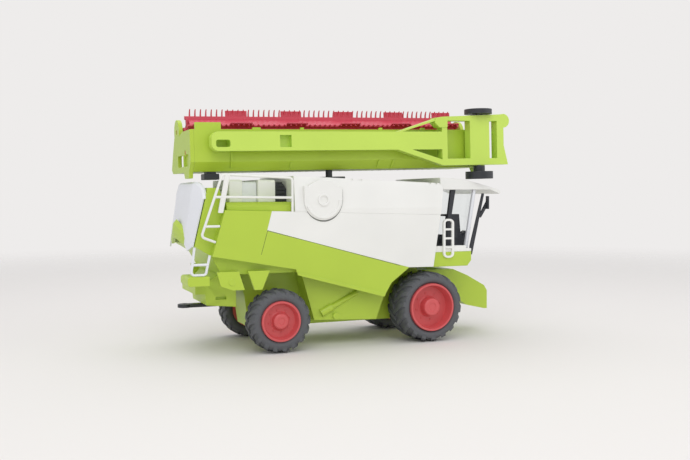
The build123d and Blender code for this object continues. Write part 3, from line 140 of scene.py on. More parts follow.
# %% The mould grain group
def make_mould_grain():
    """Fine grain for the gloss and the bump, and a slow drift for the colour."""
    group, given, made = node_group(
        "mould_grain",
        [
            ("Colour", "NodeSocketColor", (0.8, 0.8, 0.8, 1)),
            ("Roughness", "NodeSocketFloat", 0.4),
            ("Grain Scale", "NodeSocketFloat", 900.0),
            ("Drift Scale", "NodeSocketFloat", 18.0),
            ("Drift", "NodeSocketFloat", 0.06),
            ("Gloss Break", "NodeSocketFloat", 0.12),
        ],
        [("Colour", "NodeSocketColor"), ("Roughness", "NodeSocketFloat"), ("Height", "NodeSocketFloat")],
    )
    links = group.links
    place = add(group, "ShaderNodeTexCoord")
    grain = add(group, "ShaderNodeTexNoise", Detail=3.0)
    drift = add(group, "ShaderNodeTexNoise", Detail=2.0)
    for noise, scale in ((grain, "Grain Scale"), (drift, "Drift Scale")):
        links.new(place.outputs["Object"], noise.inputs["Vector"])
        links.new(given.outputs[scale], noise.inputs["Scale"])
    shade = add(group, "ShaderNodeMapRange", From_Min=0.3, From_Max=0.7, To_Max=1.0)
    lowest = add(group, "ShaderNodeMath", operation="SUBTRACT")
    lowest.inputs[0].default_value = 1.0
    links.new(given.outputs["Drift"], lowest.inputs[1])
    links.new(lowest.outputs[0], shade.inputs["To Min"])
    links.new(drift.outputs["Fac"], shade.inputs["Value"])
    tint = add(group, "ShaderNodeMix", data_type="RGBA", blend_type="MULTIPLY")
    tint.inputs["Factor"].default_value = 1.0
    # inputs 6 and 7 of a colour Mix node are its two colours, and output 2 is the mixed one
    links.new(given.outputs["Colour"], tint.inputs[6])
    links.new(shade.outputs["Result"], tint.inputs[7])
    links.new(tint.outputs[2], made.inputs["Colour"])
    centred = add(group, "ShaderNodeMath", operation="SUBTRACT")
    centred.inputs[1].default_value = 0.5
    links.new(grain.outputs["Fac"], centred.inputs[0])
    gloss = add(group, "ShaderNodeMath", operation="MULTIPLY_ADD", use_clamp=True)
    links.new(centred.outputs[0], gloss.inputs[0])
    links.new(given.outputs["Gloss Break"], gloss.inputs[1])
    links.new(given.outputs["Roughness"], gloss.inputs[2])
    links.new(gloss.outputs[0], made.inputs["Roughness"])
    links.new(grain.outputs["Fac"], made.inputs["Height"])
    return group


mould_grain = make_mould_grain()
print("group", mould_grain.name)

# %% [markdown]
# A Bevel node gives the direction that the surface would have with rounded edges. Where it
# differs from the true direction there is an edge, so the difference is a mask that nobody
# has to paint.


# %% The rubbed edge group
def make_rubbed_edge():
    """A mask that is 1 on rubbed outer edges, broken up by noise, and the paler colour there."""
    group, given, made = node_group(
        "rubbed_edge",
        [
            ("Colour", "NodeSocketColor", (0.8, 0.8, 0.8, 1)),
            ("Edge Colour", "NodeSocketColor", (1, 1, 1, 1)),
            ("Width", "NodeSocketFloat", 0.0006),
            ("Amount", "NodeSocketFloat", 0.35),
        ],
        [("Colour", "NodeSocketColor"), ("Mask", "NodeSocketFloat")],
    )
    links = group.links
    bevel = add(group, "ShaderNodeBevel", samples=4)
    links.new(given.outputs["Width"], bevel.inputs["Radius"])
    surface = add(group, "ShaderNodeNewGeometry")
    dot = add(group, "ShaderNodeVectorMath", operation="DOT_PRODUCT")
    links.new(bevel.outputs["Normal"], dot.inputs[0])
    links.new(surface.outputs["Normal"], dot.inputs[1])
    edge = add(group, "ShaderNodeMapRange", From_Min=0.985, From_Max=0.8, To_Min=0.0, To_Max=1.0)
    links.new(dot.outputs["Value"], edge.inputs["Value"])
    place = add(group, "ShaderNodeTexCoord")
    patch = add(group, "ShaderNodeTexNoise", Scale=160.0, Detail=2.0)
    links.new(place.outputs["Object"], patch.inputs["Vector"])
    broken = add(group, "ShaderNodeMath", operation="MULTIPLY")
    links.new(edge.outputs["Result"], broken.inputs[0])
    links.new(patch.outputs["Fac"], broken.inputs[1])
    strength = add(group, "ShaderNodeMath", operation="MULTIPLY", use_clamp=True)
    links.new(broken.outputs[0], strength.inputs[0])
    links.new(given.outputs["Amount"], strength.inputs[1])
    paler = add(group, "ShaderNodeMix", data_type="RGBA")
    links.new(strength.outputs[0], paler.inputs["Factor"])
    links.new(given.outputs["Colour"], paler.inputs[6])
    links.new(given.outputs["Edge Colour"], paler.inputs[7])
    links.new(paler.outputs[2], made.inputs["Colour"])
    links.new(strength.outputs[0], made.inputs["Mask"])
    return group


rubbed_edge = make_rubbed_edge()
print("group", rubbed_edge.name)

# %% [markdown]
# Each plastic is one Principled shader behind both groups. The tyres' plastic is duller than
# the body's, the axles are steel and the windscreen is clear, so only a few inputs differ.


# %% Make the plastics
def plastic(name, colour, edge_colour, roughness=0.38, bump=0.000012, wear=0.35, **extra):
    """A moulded plastic: grain, drifting colour, rubbed edges and a faint bump."""
    material = bpy.data.materials.new(name)
    material.use_nodes = True
    tree = material.node_tree
    shader = tree.nodes["Principled BSDF"]
    grain = add(tree, "ShaderNodeGroup", node_tree=mould_grain)
    grain.inputs["Colour"].default_value = colour
    grain.inputs["Roughness"].default_value = roughness
    edge = add(tree, "ShaderNodeGroup", node_tree=rubbed_edge)
    edge.inputs["Edge Colour"].default_value = edge_colour
    edge.inputs["Amount"].default_value = wear
    bump_node = add(tree, "ShaderNodeBump", Distance=bump, Strength=0.6)
    tree.links.new(grain.outputs["Colour"], edge.inputs["Colour"])
    tree.links.new(edge.outputs["Colour"], shader.inputs["Base Color"])
    tree.links.new(grain.outputs["Roughness"], shader.inputs["Roughness"])
    tree.links.new(grain.outputs["Height"], bump_node.inputs["Height"])
    tree.links.new(bump_node.outputs["Normal"], shader.inputs["Normal"])
    for socket, value in extra.items():
        shader.inputs[socket.replace("_", " ")].default_value = value
    return material


PALE_EDGE = linear(250, 250, 244)
lime_plastic = plastic("lime_plastic", LIME, linear(222, 236, 150))
bright_lime_plastic = plastic("bright_lime_plastic", BRIGHT_LIME, linear(232, 244, 170))
white_plastic = plastic("white_plastic", WARM_WHITE, PALE_EDGE, roughness=0.34)
cool_white_plastic = plastic("cool_white_plastic", COOL_WHITE, PALE_EDGE)
rim_red_plastic = plastic("rim_red_plastic", RIM_RED, linear(236, 120, 120))
reel_red_plastic = plastic("reel_red_plastic", REEL_RED, linear(236, 110, 130))
black_plastic = plastic("black_plastic", SOOT_BLACK, linear(110, 112, 118))
grey_plastic = plastic("grey_plastic", CABIN_GREY, linear(124, 126, 132))
tyre_plastic = plastic("tyre_plastic", TYRE_GREY, linear(104, 106, 110), roughness=0.62)
axle_steel = plastic("axle_steel", STEEL_GREY, PALE_EDGE, roughness=0.3, Metallic=1.0)
# two matte dark plastics that are painted shade: strips of them stand for the shadow under the screen
# cover's edge and the shade along the side panel's seam
painted_shadow_grey_plastic = plastic(
    "painted_shadow_grey_plastic", linear(128, 130, 126), linear(150, 152, 150), roughness=0.6
)
painted_shade_green_plastic = plastic(
    "painted_shade_green_plastic", linear(96, 112, 44), linear(120, 136, 70), roughness=0.6
)
clear_plastic = plastic(
    "clear_plastic", WATER_CLEAR, PALE_EDGE, roughness=0.06, wear=0.1, Transmission_Weight=1.0, IOR=1.12
)
finish_of_slot = {
    "green_plastic": lime_plastic,
    "white_plastic": white_plastic,
    "mint_plastic": cool_white_plastic,
    "black_plastic": black_plastic,
    "red_plastic": rim_red_plastic,
    "tyre_rubber": tyre_plastic,
    "axle_steel": axle_steel,
    "clear_plastic": clear_plastic,
    "grey_plastic": grey_plastic,
}
print("finishes", len(finish_of_slot))

# %% [markdown]
# A mould can't make a razor edge. The frame's solids have razor edges, so each is copied,
# its loose triangles are merged and its flat faces joined again, and a Bevel modifier rounds
# the edges that are sharper than a limit. Without that round no edge catches the light.


# %% Dress a solid
MOULD_ROUND = 0.4 * MM
SHARP_ANGLE = math.radians(35.0)
SAME_POINT = 0.02 * MM
FLAT_ANGLE = math.radians(0.6)


def put_in_scene(name, data):
    """A new object that holds some data, linked to the scene."""
    made = bpy.data.objects.new(name, data)
    bpy.context.scene.collection.objects.link(made)
    return made


def coat(mesh, finish, sharp_angle):
    """Shade a mesh smooth, apart from its sharp edges, and give it one finish."""
    for polygon in mesh.polygons:
        polygon.use_smooth = True
        polygon.material_index = 0
    mesh.set_sharp_from_angle(angle=sharp_angle)
    mesh.materials.clear()
    mesh.materials.append(finish)


def dressed(node):
    """A copy of a frame solid with merged faces, rounded edges and its finish."""
    mesh = nodes[node].data.copy()
    mesh.name = node + "_shape"
    work = bmesh.new()
    work.from_mesh(mesh)
    bmesh.ops.remove_doubles(work, verts=work.verts, dist=SAME_POINT)
    bmesh.ops.dissolve_limit(work, angle_limit=FLAT_ANGLE, verts=work.verts, edges=work.edges)
    work.to_mesh(mesh)
    work.free()
    coat(mesh, finish_of_slot[slot_of_node[node]], SHARP_ANGLE)
    piece = put_in_scene(node + "_moulded", mesh)
    rounding = piece.modifiers.new("mould round", "BEVEL")
    rounding.width = MOULD_ROUND
    rounding.segments = 2
    rounding.limit_method = "ANGLE"
    rounding.angle_limit = SHARP_ANGLE
    rounding.harden_normals = True
    rounding.use_clamp_overlap = True
    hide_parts(node)
    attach(piece, body_of_node[node])
    return piece


MADE_LATER = {"deck_railing", "rear_ladder", "reel", "intake_auger"}
MADE_LATER |= {"rear_hood", "hood_deflector", "steering_column"}
MADE_LATER |= {
    f"{wheel}_{ring}_{flank}"
    for wheel in ("front", "rear")
    for ring in ("tyre", "rim")
    for flank in ("right", "left")
}
pieces = {}
for node in sorted(set(nodes) - MADE_LATER):
    pieces[node] = dressed(node)
print("dressed", len(pieces))

# %% [markdown]
# A few outlines of the toy differ a little from the frame's solids. Their copies follow the
# toy: the side panels' lower edge rises to the rear, the upper carriage wheel is thinner, the
# mirrors are narrow, the rear chute tapers, and the cab ladders stand a little further back.
# New meshes could do that too, but a rule that moves the points past a line is shorter, and
# it keeps the copy's finish and its rounded edges.


# %% Small outline changes
PANEL_REAR_X, PANEL_LOW_Z, PANEL_RISEN_Z = -120, 71, 82.6
THIN_FROM_Z, THIN_SHARE = 206.7, 0.65
MIRROR_FROM_X, MIRROR_SHARE = 133, 0.3
CHUTE_FROM_X, CHUTE_LENGTH_SHARE, CHUTE_WIDTH_SHARE = -125, 0.6, 0.72
STEP_END_Y, STEP_REACH_Y = -40, -25
LADDER_BACK, LADDER_DEPTH_SHARE = 3.2, 1.15
ladder_low, ladder_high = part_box("cab_ladder_right")
LADDER_X = (ladder_low.x + ladder_high.x) / 2 / MM


def reshaped(node, rule):
    """Move the points of a dressed copy with a rule that is given in millimetres."""
    for vertex in pieces[node].data.vertices:
        vertex.co = Vector(rule(*(vertex.co / MM))) * MM


def panel_rule(x, y, z):
    """The rear part of the panel's lower edge rises."""
    return (x, y, PANEL_RISEN_Z) if x < PANEL_REAR_X and z < PANEL_LOW_Z else (x, y, z)


def thin_rule(x, y, z):
    """The upper carriage wheel, and the axle's end in it, get thinner."""
    return (x, y, THIN_FROM_Z + (z - THIN_FROM_Z) * THIN_SHARE) if z > THIN_FROM_Z else (x, y, z)


def mirror_rule(x, y, z):
    """The mirror gets narrower past its arm."""
    return (MIRROR_FROM_X + (x - MIRROR_FROM_X) * MIRROR_SHARE, y, z) if x > MIRROR_FROM_X else (x, y, z)


def chute_rule(x, y, z):
    """The chute's rear end gets shorter and narrower."""
    if x >= CHUTE_FROM_X:
        return (x, y, z)
    return (CHUTE_FROM_X + (x - CHUTE_FROM_X) * CHUTE_LENGTH_SHARE, y * CHUTE_WIDTH_SHARE, z)


def step_rule(x, y, z):
    """The step's inner end reaches the chute."""
    return (x, STEP_REACH_Y, z) if y > STEP_END_Y else (x, y, z)


def ladder_rule(x, y, z):
    """The cab ladder stands further back and is a little deeper."""
    return (LADDER_X - LADDER_BACK + (x - LADDER_X) * LADDER_DEPTH_SHARE, y, z)


RULE_OF = {
    "rear_chute": chute_rule,
    "rear_step": step_rule,
    "cab_ladder_right": ladder_rule,
    "cab_ladder_left": ladder_rule,
    "side_panel_right": panel_rule,
    "side_panel_left": panel_rule,
    "carriage_wheel_high": thin_rule,
    "carriage_axle": thin_rule,
    "mirror_arm_right": mirror_rule,
    "mirror_arm_left": mirror_rule,
}
for node, rule in RULE_OF.items():
    reshaped(node, rule)
print("reshaped", len(RULE_OF))

# %% [markdown]
# Tubes, such as the railing's, are drawn as a path with rounded corners and swept round. A
# curve with a round bevel does that, and it is then turned into a mesh, so that its place
# is in its points.


# %% Tubes
ROUND_STEPS = 8
SIDE_SHARE = 0.48


def rounded_path(points, radius, closed=False):
    """A path whose corners are arcs of a radius; an arc takes less than half of a side."""
    points = [Vector(p) for p in points]
    made = []
    count = len(points)
    for k, corner in enumerate(points):
        if not closed and k in (0, count - 1):
            made.append(corner)
            continue
        before = (points[k - 1] - corner).normalized()
        after = (points[(k + 1) % count] - corner).normalized()
        half = before.angle(after) / 2
        reach = min(radius / math.tan(half), SIDE_SHARE * (points[k - 1] - corner).length)
        centre = corner + (before + after).normalized() * (reach / math.cos(half))
        arm = corner + before * reach - centre
        turn = arm.rotation_difference(corner + after * reach - centre)
        for step in range(ROUND_STEPS + 1):
            made.append(centre + Quaternion().slerp(turn, step / ROUND_STEPS) @ arm)
    return made


def mesh_of(obj):
    """The evaluated shape of an object as a plain mesh; the object itself is removed."""
    graph = bpy.context.evaluated_depsgraph_get()
    graph.update()
    mesh = bpy.data.meshes.new_from_object(obj.evaluated_get(graph))
    bpy.data.objects.remove(obj)
    return mesh


def tube_mesh(points, radius, corner=3.0 * MM, closed=False, sides=4):
    """A round tube along a path, as a mesh with closed ends."""
    path = rounded_path(points, corner, closed) if corner else [Vector(p) for p in points]
    curve = bpy.data.curves.new("tube path", "CURVE")
    curve.dimensions = "3D"
    curve.bevel_depth = radius
    curve.bevel_resolution = sides
    curve.use_fill_caps = True
    line = curve.splines.new("POLY")
    line.points.add(len(path) - 1)
    for spot, place in zip(line.points, path):
        spot.co = (*place, 1.0)
    line.use_cyclic_u = closed
    return mesh_of(put_in_scene("tube", curve))


def joined(name, meshes, finish, node=None, smooth_deg=40.0):
    """One object from several meshes, dressed with a finish, standing for a frame solid."""
    work = bmesh.new()
    for mesh in meshes:
        work.from_mesh(mesh)
    bmesh.ops.remove_doubles(work, verts=work.verts, dist=0.005 * MM)
    bmesh.ops.recalc_face_normals(work, faces=work.faces)
    whole = bpy.data.meshes.new(name)
    work.to_mesh(whole)
    work.free()
    coat(whole, finish, math.radians(smooth_deg))
    piece = put_in_scene(name, whole)
    if node:
        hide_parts(node)
        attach(piece, body_of_node[node])
        pieces[node] = piece
    return piece


print("tube helpers ready")

# %% [markdown]
# The deck railing is one bent tube of about 2 mm with a middle rail, a flat inner leg and a
# step bar. The ladder below it is bent from the same tube. The flat leg is drawn as three
# tubes that lie side by side, so that its edges are round too.

# %% Railing and rear ladder
RAIL_R = 1.1 * MM
rail_low, rail_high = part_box("deck_railing")
RAIL_Y = (rail_low.y + rail_high.y) / 2


def on_rail_plane(*spots):
    """Points (x, z) in millimetres on the railing's upright plane."""
    return [(x * MM, RAIL_Y, z * MM) for x, z in spots]


railing = on_rail_plane(
    (-58.4, 118.9), (-58.4, 147.2), (-118.4, 149.8), (-136.2, 98.9), (-124.6, 94.6)
)
railing_parts = [tube_mesh(railing, RAIL_R)]
middle_rail = [(-58.4, 130.6), (-124.8, 131.4)]
step_bar = [(-133.2, 107.5), (-120.9, 107.5)]
flat_leg = [[(-112.9 - shift, 149.4), (-118.9 - shift, 118.5)] for shift in (0.0, 1.2, 2.4)]
for ends in (middle_rail, step_bar, *flat_leg):
    railing_parts.append(tube_mesh(on_rail_plane(*ends), RAIL_R, corner=0))
joined("bent_deck_railing", railing_parts, white_plastic, "deck_railing")
ladder = on_rail_plane((-129.5, 84.0), (-133.0, 68.1), (-145.0, 68.1), (-141.9, 90.6))
rung = on_rail_plane((-131.3, 76.5), (-143.8, 76.5))
ladder_parts = [tube_mesh(ladder, RAIL_R, corner=2.5 * MM), tube_mesh(rung, RAIL_R, corner=0)]
joined("bent_rear_ladder", ladder_parts, cool_white_plastic, "rear_ladder")
print("railing points", len(pieces["deck_railing"].data.vertices))

# %% [markdown]
# Tyres, rims, the reel and the auger repeat one small shape many times. Two Geometry Nodes
# trees do that: one sets a piece in a row, the other sets it round an axis. Both add the
# copies to the shape that the modifier sits on, and their counts and places stay inputs.


# %% Trees that repeat a piece
def piece_tree(name, sockets):
    """A geometry tree with a geometry input and output and the named inputs."""
    tree = bpy.data.node_groups.new(name, "GeometryNodeTree")
    tree.interface.new_socket(name="Geometry", in_out="INPUT", socket_type="NodeSocketGeometry")
    for title, kind in sockets:
        tree.interface.new_socket(name=title, in_out="INPUT", socket_type=kind)
    tree.interface.new_socket(name="Geometry", in_out="OUTPUT", socket_type="NodeSocketGeometry")
    return tree, tree.nodes.new("NodeGroupInput"), tree.nodes.new("NodeGroupOutput")


def finish_tree(tree, given, made, instances):
    """Join the copies to the given geometry, realize them and set the material."""
    links = tree.links
    whole = tree.nodes.new("GeometryNodeJoinGeometry")
    links.new(given.outputs["Geometry"], whole.inputs[0])
    links.new(instances, whole.inputs[0])
    real = tree.nodes.new("GeometryNodeRealizeInstances")
    links.new(whole.outputs[0], real.inputs[0])
    painted = tree.nodes.new("GeometryNodeSetMaterial")
    links.new(real.outputs[0], painted.inputs["Geometry"])
    links.new(given.outputs["Finish"], painted.inputs["Material"])
    links.new(painted.outputs[0], made.inputs["Geometry"])


def make_row_tree():
    """Copies of a piece in a row: a start, a step from one to the next, and a count."""
    tree, given, made = piece_tree(
        "row_of_pieces",
        [
            ("Piece", "NodeSocketObject"),
            ("Count", "NodeSocketInt"),
            ("Start", "NodeSocketVector"),
            ("Step", "NodeSocketVector"),
            ("Finish", "NodeSocketMaterial"),
        ],
    )
    links = tree.links
    line = tree.nodes.new("GeometryNodeMeshLine")
    links.new(given.outputs["Count"], line.inputs["Count"])
    links.new(given.outputs["Start"], line.inputs["Start Location"])
    links.new(given.outputs["Step"], line.inputs["Offset"])
    source = tree.nodes.new("GeometryNodeObjectInfo")
    links.new(given.outputs["Piece"], source.inputs["Object"])
    copies = tree.nodes.new("GeometryNodeInstanceOnPoints")
    links.new(line.outputs["Mesh"], copies.inputs["Points"])
    links.new(source.outputs["Geometry"], copies.inputs["Instance"])
    finish_tree(tree, given, made, copies.outputs["Instances"])
    return tree


def make_ring_tree():
    """Copies of a piece round the Z axis, the first one turned by a phase, in degrees."""
    tree, given, made = piece_tree(
        "ring_of_pieces",
        [
            ("Piece", "NodeSocketObject"),
            ("Count", "NodeSocketInt"),
            ("Phase", "NodeSocketFloat"),
            ("Finish", "NodeSocketMaterial"),
        ],
    )
    links = tree.links
    line = tree.nodes.new("GeometryNodeMeshLine")
    line.inputs["Offset"].default_value = (0, 0, 0)
    links.new(given.outputs["Count"], line.inputs["Count"])
    order = tree.nodes.new("GeometryNodeInputIndex")
    share = add(tree, "ShaderNodeMath", operation="DIVIDE")
    links.new(order.outputs[0], share.inputs[0])
    links.new(given.outputs["Count"], share.inputs[1])
    full_turn = add(tree, "ShaderNodeMath", operation="MULTIPLY_ADD")
    links.new(share.outputs[0], full_turn.inputs[0])
    full_turn.inputs[1].default_value = 360.0
    links.new(given.outputs["Phase"], full_turn.inputs[2])
    radians = add(tree, "ShaderNodeMath", operation="RADIANS")
    links.new(full_turn.outputs[0], radians.inputs[0])
    turn = tree.nodes.new("ShaderNodeCombineXYZ")
    links.new(radians.outputs[0], turn.inputs["Z"])
    source = tree.nodes.new("GeometryNodeObjectInfo")
    links.new(given.outputs["Piece"], source.inputs["Object"])
    copies = tree.nodes.new("GeometryNodeInstanceOnPoints")
    links.new(line.outputs["Mesh"], copies.inputs["Points"])
    links.new(source.outputs["Geometry"], copies.inputs["Instance"])
    links.new(turn.outputs[0], copies.inputs["Rotation"])
    finish_tree(tree, given, made, copies.outputs["Instances"])
    return tree


row_tree, ring_tree = make_row_tree(), make_ring_tree()


def repeated(tree, base, finish, **inputs):
    """Run a tree on a base mesh, or on nothing, and return the plain mesh that it makes."""
    holder = put_in_scene("holder", base or bpy.data.meshes.new("nothing"))
    modifier = holder.modifiers.new("repeat", "NODES")
    modifier.node_group = tree
    socket_of = {
        item.name: item.identifier for item in tree.interface.items_tree if item.in_out == "INPUT"
    }
    for title, value in inputs.items():
        modifier[socket_of[title]] = value
    modifier[socket_of["Finish"]] = finish
    return mesh_of(holder)


def helper_object(mesh):
    """An object that only serves as a tree's input; it isn't part of the scene."""
    return bpy.data.objects.new("helper", mesh)


print("trees", row_tree.name, ring_tree.name)

# %% [markdown]
# Many of the toy's pieces are either turned round an axis or drawn out from one outline to
# the next. The helpers make both from points, so that every size stays a plain number.


# %% Turned and drawn-out shapes
def finished_mesh(work, name):
    """Turn a shape's faces outwards and write it to a plain mesh."""
    bmesh.ops.recalc_face_normals(work, faces=work.faces)
    mesh = bpy.data.meshes.new(name)
    work.to_mesh(mesh)
    work.free()
    return mesh


def turned_mesh(profile, steps=96, closed=True):
    """A profile of points (radius, height) turned round the Z axis."""
    work = bmesh.new()
    rings = []
    for k in range(steps):
        angle = 2 * math.pi * k / steps
        rings.append(
            [work.verts.new((r * math.cos(angle), r * math.sin(angle), h)) for r, h in profile]
        )
    count = len(profile)
    for k in range(steps):
        here, after = rings[k], rings[(k + 1) % steps]
        for n in range(count if closed else count - 1):
            m = (n + 1) % count
            work.faces.new((here[n], after[n], after[m], here[m]))
    bmesh.ops.remove_doubles(work, verts=work.verts, dist=0.001 * MM)
    return finished_mesh(work, "turned")


def shaft_mesh(end, steps=32):
    """A turned shaft with two equal ends; one is given by its points from the axis outwards."""
    other_end = [(r, -h) for r, h in end]
    return turned_mesh(other_end + end[::-1], steps, closed=False)


def loft_mesh(rings):
    """A closed skin over rings of points that all have the same count."""
    work = bmesh.new()
    rows = [[work.verts.new(p) for p in ring] for ring in rings]
    count = len(rows[0])
    for here, after in zip(rows, rows[1:]):
        for n in range(count):
            m = (n + 1) % count
            work.faces.new((here[n], here[m], after[m], after[n]))
    work.faces.new(rows[0])
    work.faces.new(rows[-1])
    return finished_mesh(work, "loft")


def slab_mesh(outline, low, high):
    """A flat outline (x, y) made thick from one height to another."""
    return loft_mesh([[(x, y, low) for x, y in outline], [(x, y, high) for x, y in outline]])


def merged(*meshes):
    """Several meshes as one mesh."""
    work = bmesh.new()
    for mesh in meshes:
        work.from_mesh(mesh)
    whole = bpy.data.meshes.new("merged")
    work.to_mesh(whole)
    work.free()
    return whole


print("shape helpers ready")

# %% [markdown]
# A tyre of a field machine carries tall lugs in a chevron: each runs from the middle of the
# tread out and back to the shoulder. The carcass is a profile turned round the axle, and one
# lug for each side is set round it by the ring tree. Drawn lugs catch the light as the real
# ones do, which a bump in the material wouldn't at the outline.


# %% Tyres
LUG_COUNT, LUG_STATIONS = 18, 7
LUG_HIGH, LUG_SINK, LUG_END_DROP, SHOULDER_SINK = 1.7 * MM, 1.2 * MM, 0.6 * MM, 4.0 * MM
# shares of the tyre's radius: how wide a lug is, and how far its top drops at the shoulder
LUG_WIDE_SHARE, SHOULDER_DROP = 0.15, 0.055
# shares of the tyre's width: how far a lug slants back, and how far out it reaches
LUG_SLANT_SHARE, LUG_ACROSS = 0.30, 0.985
# where the shoulder starts, as a share of the way out, and how a lug widens and narrows
SHOULDER_FROM, LUG_WIDENS, LUG_TOP_SHARE, TOP_WEAR = 0.72, 0.12, 0.78, 0.10


def lug_mesh(radius, crown, width, side):
    """One lug on the +X side of a tyre, from its middle to one shoulder, down to the sidewall."""
    rows = []
    for k in range(LUG_STATIONS):
        share = k / (LUG_STATIONS - 1)
        across = LUG_ACROSS * share * width / 2
        rounding = max(0.0, share - SHOULDER_FROM) / (1 - SHOULDER_FROM)
        top = radius - TOP_WEAR * (radius - crown) - SHOULDER_DROP * radius * rounding
        if k == LUG_STATIONS - 1:
            top -= LUG_END_DROP
        low = crown - LUG_SINK - SHOULDER_SINK * rounding
        half = LUG_WIDE_SHARE * radius * (0.5 + LUG_WIDENS * share)
        top_half = LUG_TOP_SHARE * half
        row = []
        for reach, lift in ((-half, low), (-top_half, top), (top_half, top), (half, low)):
            angle = (LUG_SLANT_SHARE * width * share + reach) / radius
            row.append((lift * math.cos(angle), lift * math.sin(angle), side * across))
        rows.append(row)
    return loft_mesh(rows)


def tyre_profile(crown, rim, width):
    """The carcass outline: tread, round shoulders, a full sidewall and a bead at the rim."""
    # columns: how far down from the tread to the rim, and how far out from the middle, as shares
    shares = [(0.0, 0.0), (0.0, 0.30), (0.05, 0.38), (0.16, 0.44), (0.30, 0.485), (0.50, 0.5)]
    shares += [(0.68, 0.492), (0.84, 0.465), (0.97, 0.43), (1.0, 0.40)]
    right = [(crown - down * (crown - rim), out * width) for down, out in shares]
    left = [(r, -h) for r, h in reversed(right[1:])]
    return right + left


AXLE_TO_Y = Matrix.Rotation(math.radians(-90), 4, "X")
# columns: wheel, rim radius as a share of the tyre's
for wheel, rim_share in (("front", 0.683), ("rear", 0.637)):
    for flank in ("right", "left"):
        node = f"{wheel}_tyre_{flank}"
        low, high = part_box(node)
        radius, width = (high.z - low.z) / 2, high.y - low.y
        crown = radius - LUG_HIGH
        mesh = turned_mesh(tyre_profile(crown, rim_share * radius, width))
        for side, phase in ((1, 0.0), (-1, 180.0 / LUG_COUNT)):
            lug = lug_mesh(radius, crown, width, side)
            mesh = repeated(
                ring_tree, mesh, tyre_plastic, Piece=helper_object(lug), Count=LUG_COUNT, Phase=phase
            )
        mesh.transform(Matrix.Translation((low + high) / 2) @ AXLE_TO_Y)
        joined(f"lugged_{node}", [mesh], tyre_plastic, node, smooth_deg=32.0)
print("tyre faces", len(pieces["front_tyre_right"].data.polygons))

# %% [markdown]
# The header is stowed over the roof, pitched a little nose-up. Its reel and auger are drawn
# level, in the header's own place, and then pitched with it, which is simpler than drawing
# them tilted. Each turns round an axis, so it is drawn round the Z axis and laid along the
# header.

# %% The stowed header's place
HEADER_PITCH = math.radians(-1.3)
HEADER_BASE_Z = 155.6 * MM
STOWED = (
    Matrix.Translation((0, 0, HEADER_BASE_Z))
    @ Matrix.Rotation(HEADER_PITCH, 4, "Y")
    @ Matrix.Translation((0, 0, -HEADER_BASE_Z))
)
ALONG_HEADER = Matrix(((0, 0, 1, 0), (1, 0, 0, 0), (0, 1, 0, 0), (0, 0, 0, 1)))
HEADER_MID_X = 2.0 * MM
INSIDE_HALF = 138.5 * MM
SHAFT_HALF = 141.5 * MM
SHAFT_R = 2.0 * MM
REEL_PLACE = STOWED @ Matrix.Translation((HEADER_MID_X, 22.0 * MM, HEADER_BASE_Z + 36.0 * MM))
AUGER_PLACE = STOWED @ Matrix.Translation((HEADER_MID_X, -12.0 * MM, HEADER_BASE_Z + 16.4 * MM))
print("header pitch", round(math.degrees(HEADER_PITCH), 2))

# %% [markdown]
# The reel sweeps the crop into the header with five bats. Each bat is a bar with a comb of
# hooked tines and five ribbed plates. One tine and one rib are drawn, and the row tree
# repeats them along the bar, so that each shape is drawn only once.


# %% Bats with tines
BAT_COUNT = 5
BAT_TURN = 230.0
BAT_HALF = 134.5 * MM
TINE_PITCH = 4.9 * MM
TINE_COUNT = int(2 * BAT_HALF / TINE_PITCH)
PLATE_HALF, PLATE_PITCH = 10.0 * MM, 52.5 * MM
MIDDLE_PLATE = 19.7 * MM - HEADER_MID_X
PLATES_EACH_SIDE = 2
RIB_COUNT, RIB_PITCH, RIB_HALF = 9, 2.2 * MM, 0.45 * MM
# sections of bars, in mm: how far out the middle lies, half depth, half thickness, cut corner
BAT_BAR = (13.1, 1.6, 0.9, 0.4)
BAT_PLATE = (16.2, 3.8, 0.45, 0.2)
PLATE_RIB = (16.4, 3.6, 0.85, 0.3)


def tine_mesh():
    """One tine: a flat finger that stands on the bat and hooks forward at its tip."""
    # columns: distance from the axis, how far it leans forward, half width, half thickness, in mm
    spine = [
        (12.0, 0.0, 0.75, 0.75),
        (14.5, 0.1, 0.68, 0.62),
        (17.0, 0.5, 0.58, 0.55),
        (19.0, 1.3, 0.50, 0.48),
        (20.2, 2.2, 0.42, 0.40),
        (20.7, 2.7, 0.25, 0.22),
    ]
    rings = []
    for out, lean, wide, thick in spine:
        corners = ((-1, -1), (1, -1), (1, 1), (-1, 1))
        rings.append([(out * MM, (lean + t * thick) * MM, w * wide * MM) for w, t in corners])
    return loft_mesh(rings)


def bar_mesh(section, low, high):
    """A bar with cut corners, from one height to another, with a section given in mm."""
    out, half_x, half_y, cut = (size * MM for size in section)
    outline = []
    for sx, sy, first in ((1, 1, True), (-1, 1, False), (-1, -1, True), (1, -1, False)):
        near = (out + sx * half_x, sy * (half_y - cut))
        far = (out + sx * (half_x - cut), sy * half_y)
        outline += [near, far] if first else [far, near]
    return slab_mesh(outline, low, high)


def row_mesh(base, piece, count, middle, pitch):
    """A base with a row of one piece along the axis, centred on a height."""
    start = middle - (count - 1) / 2 * pitch
    return repeated(
        row_tree,
        base,
        reel_red_plastic,
        Piece=helper_object(piece),
        Count=count,
        Start=(0, 0, start),
        Step=(0, 0, pitch),
    )


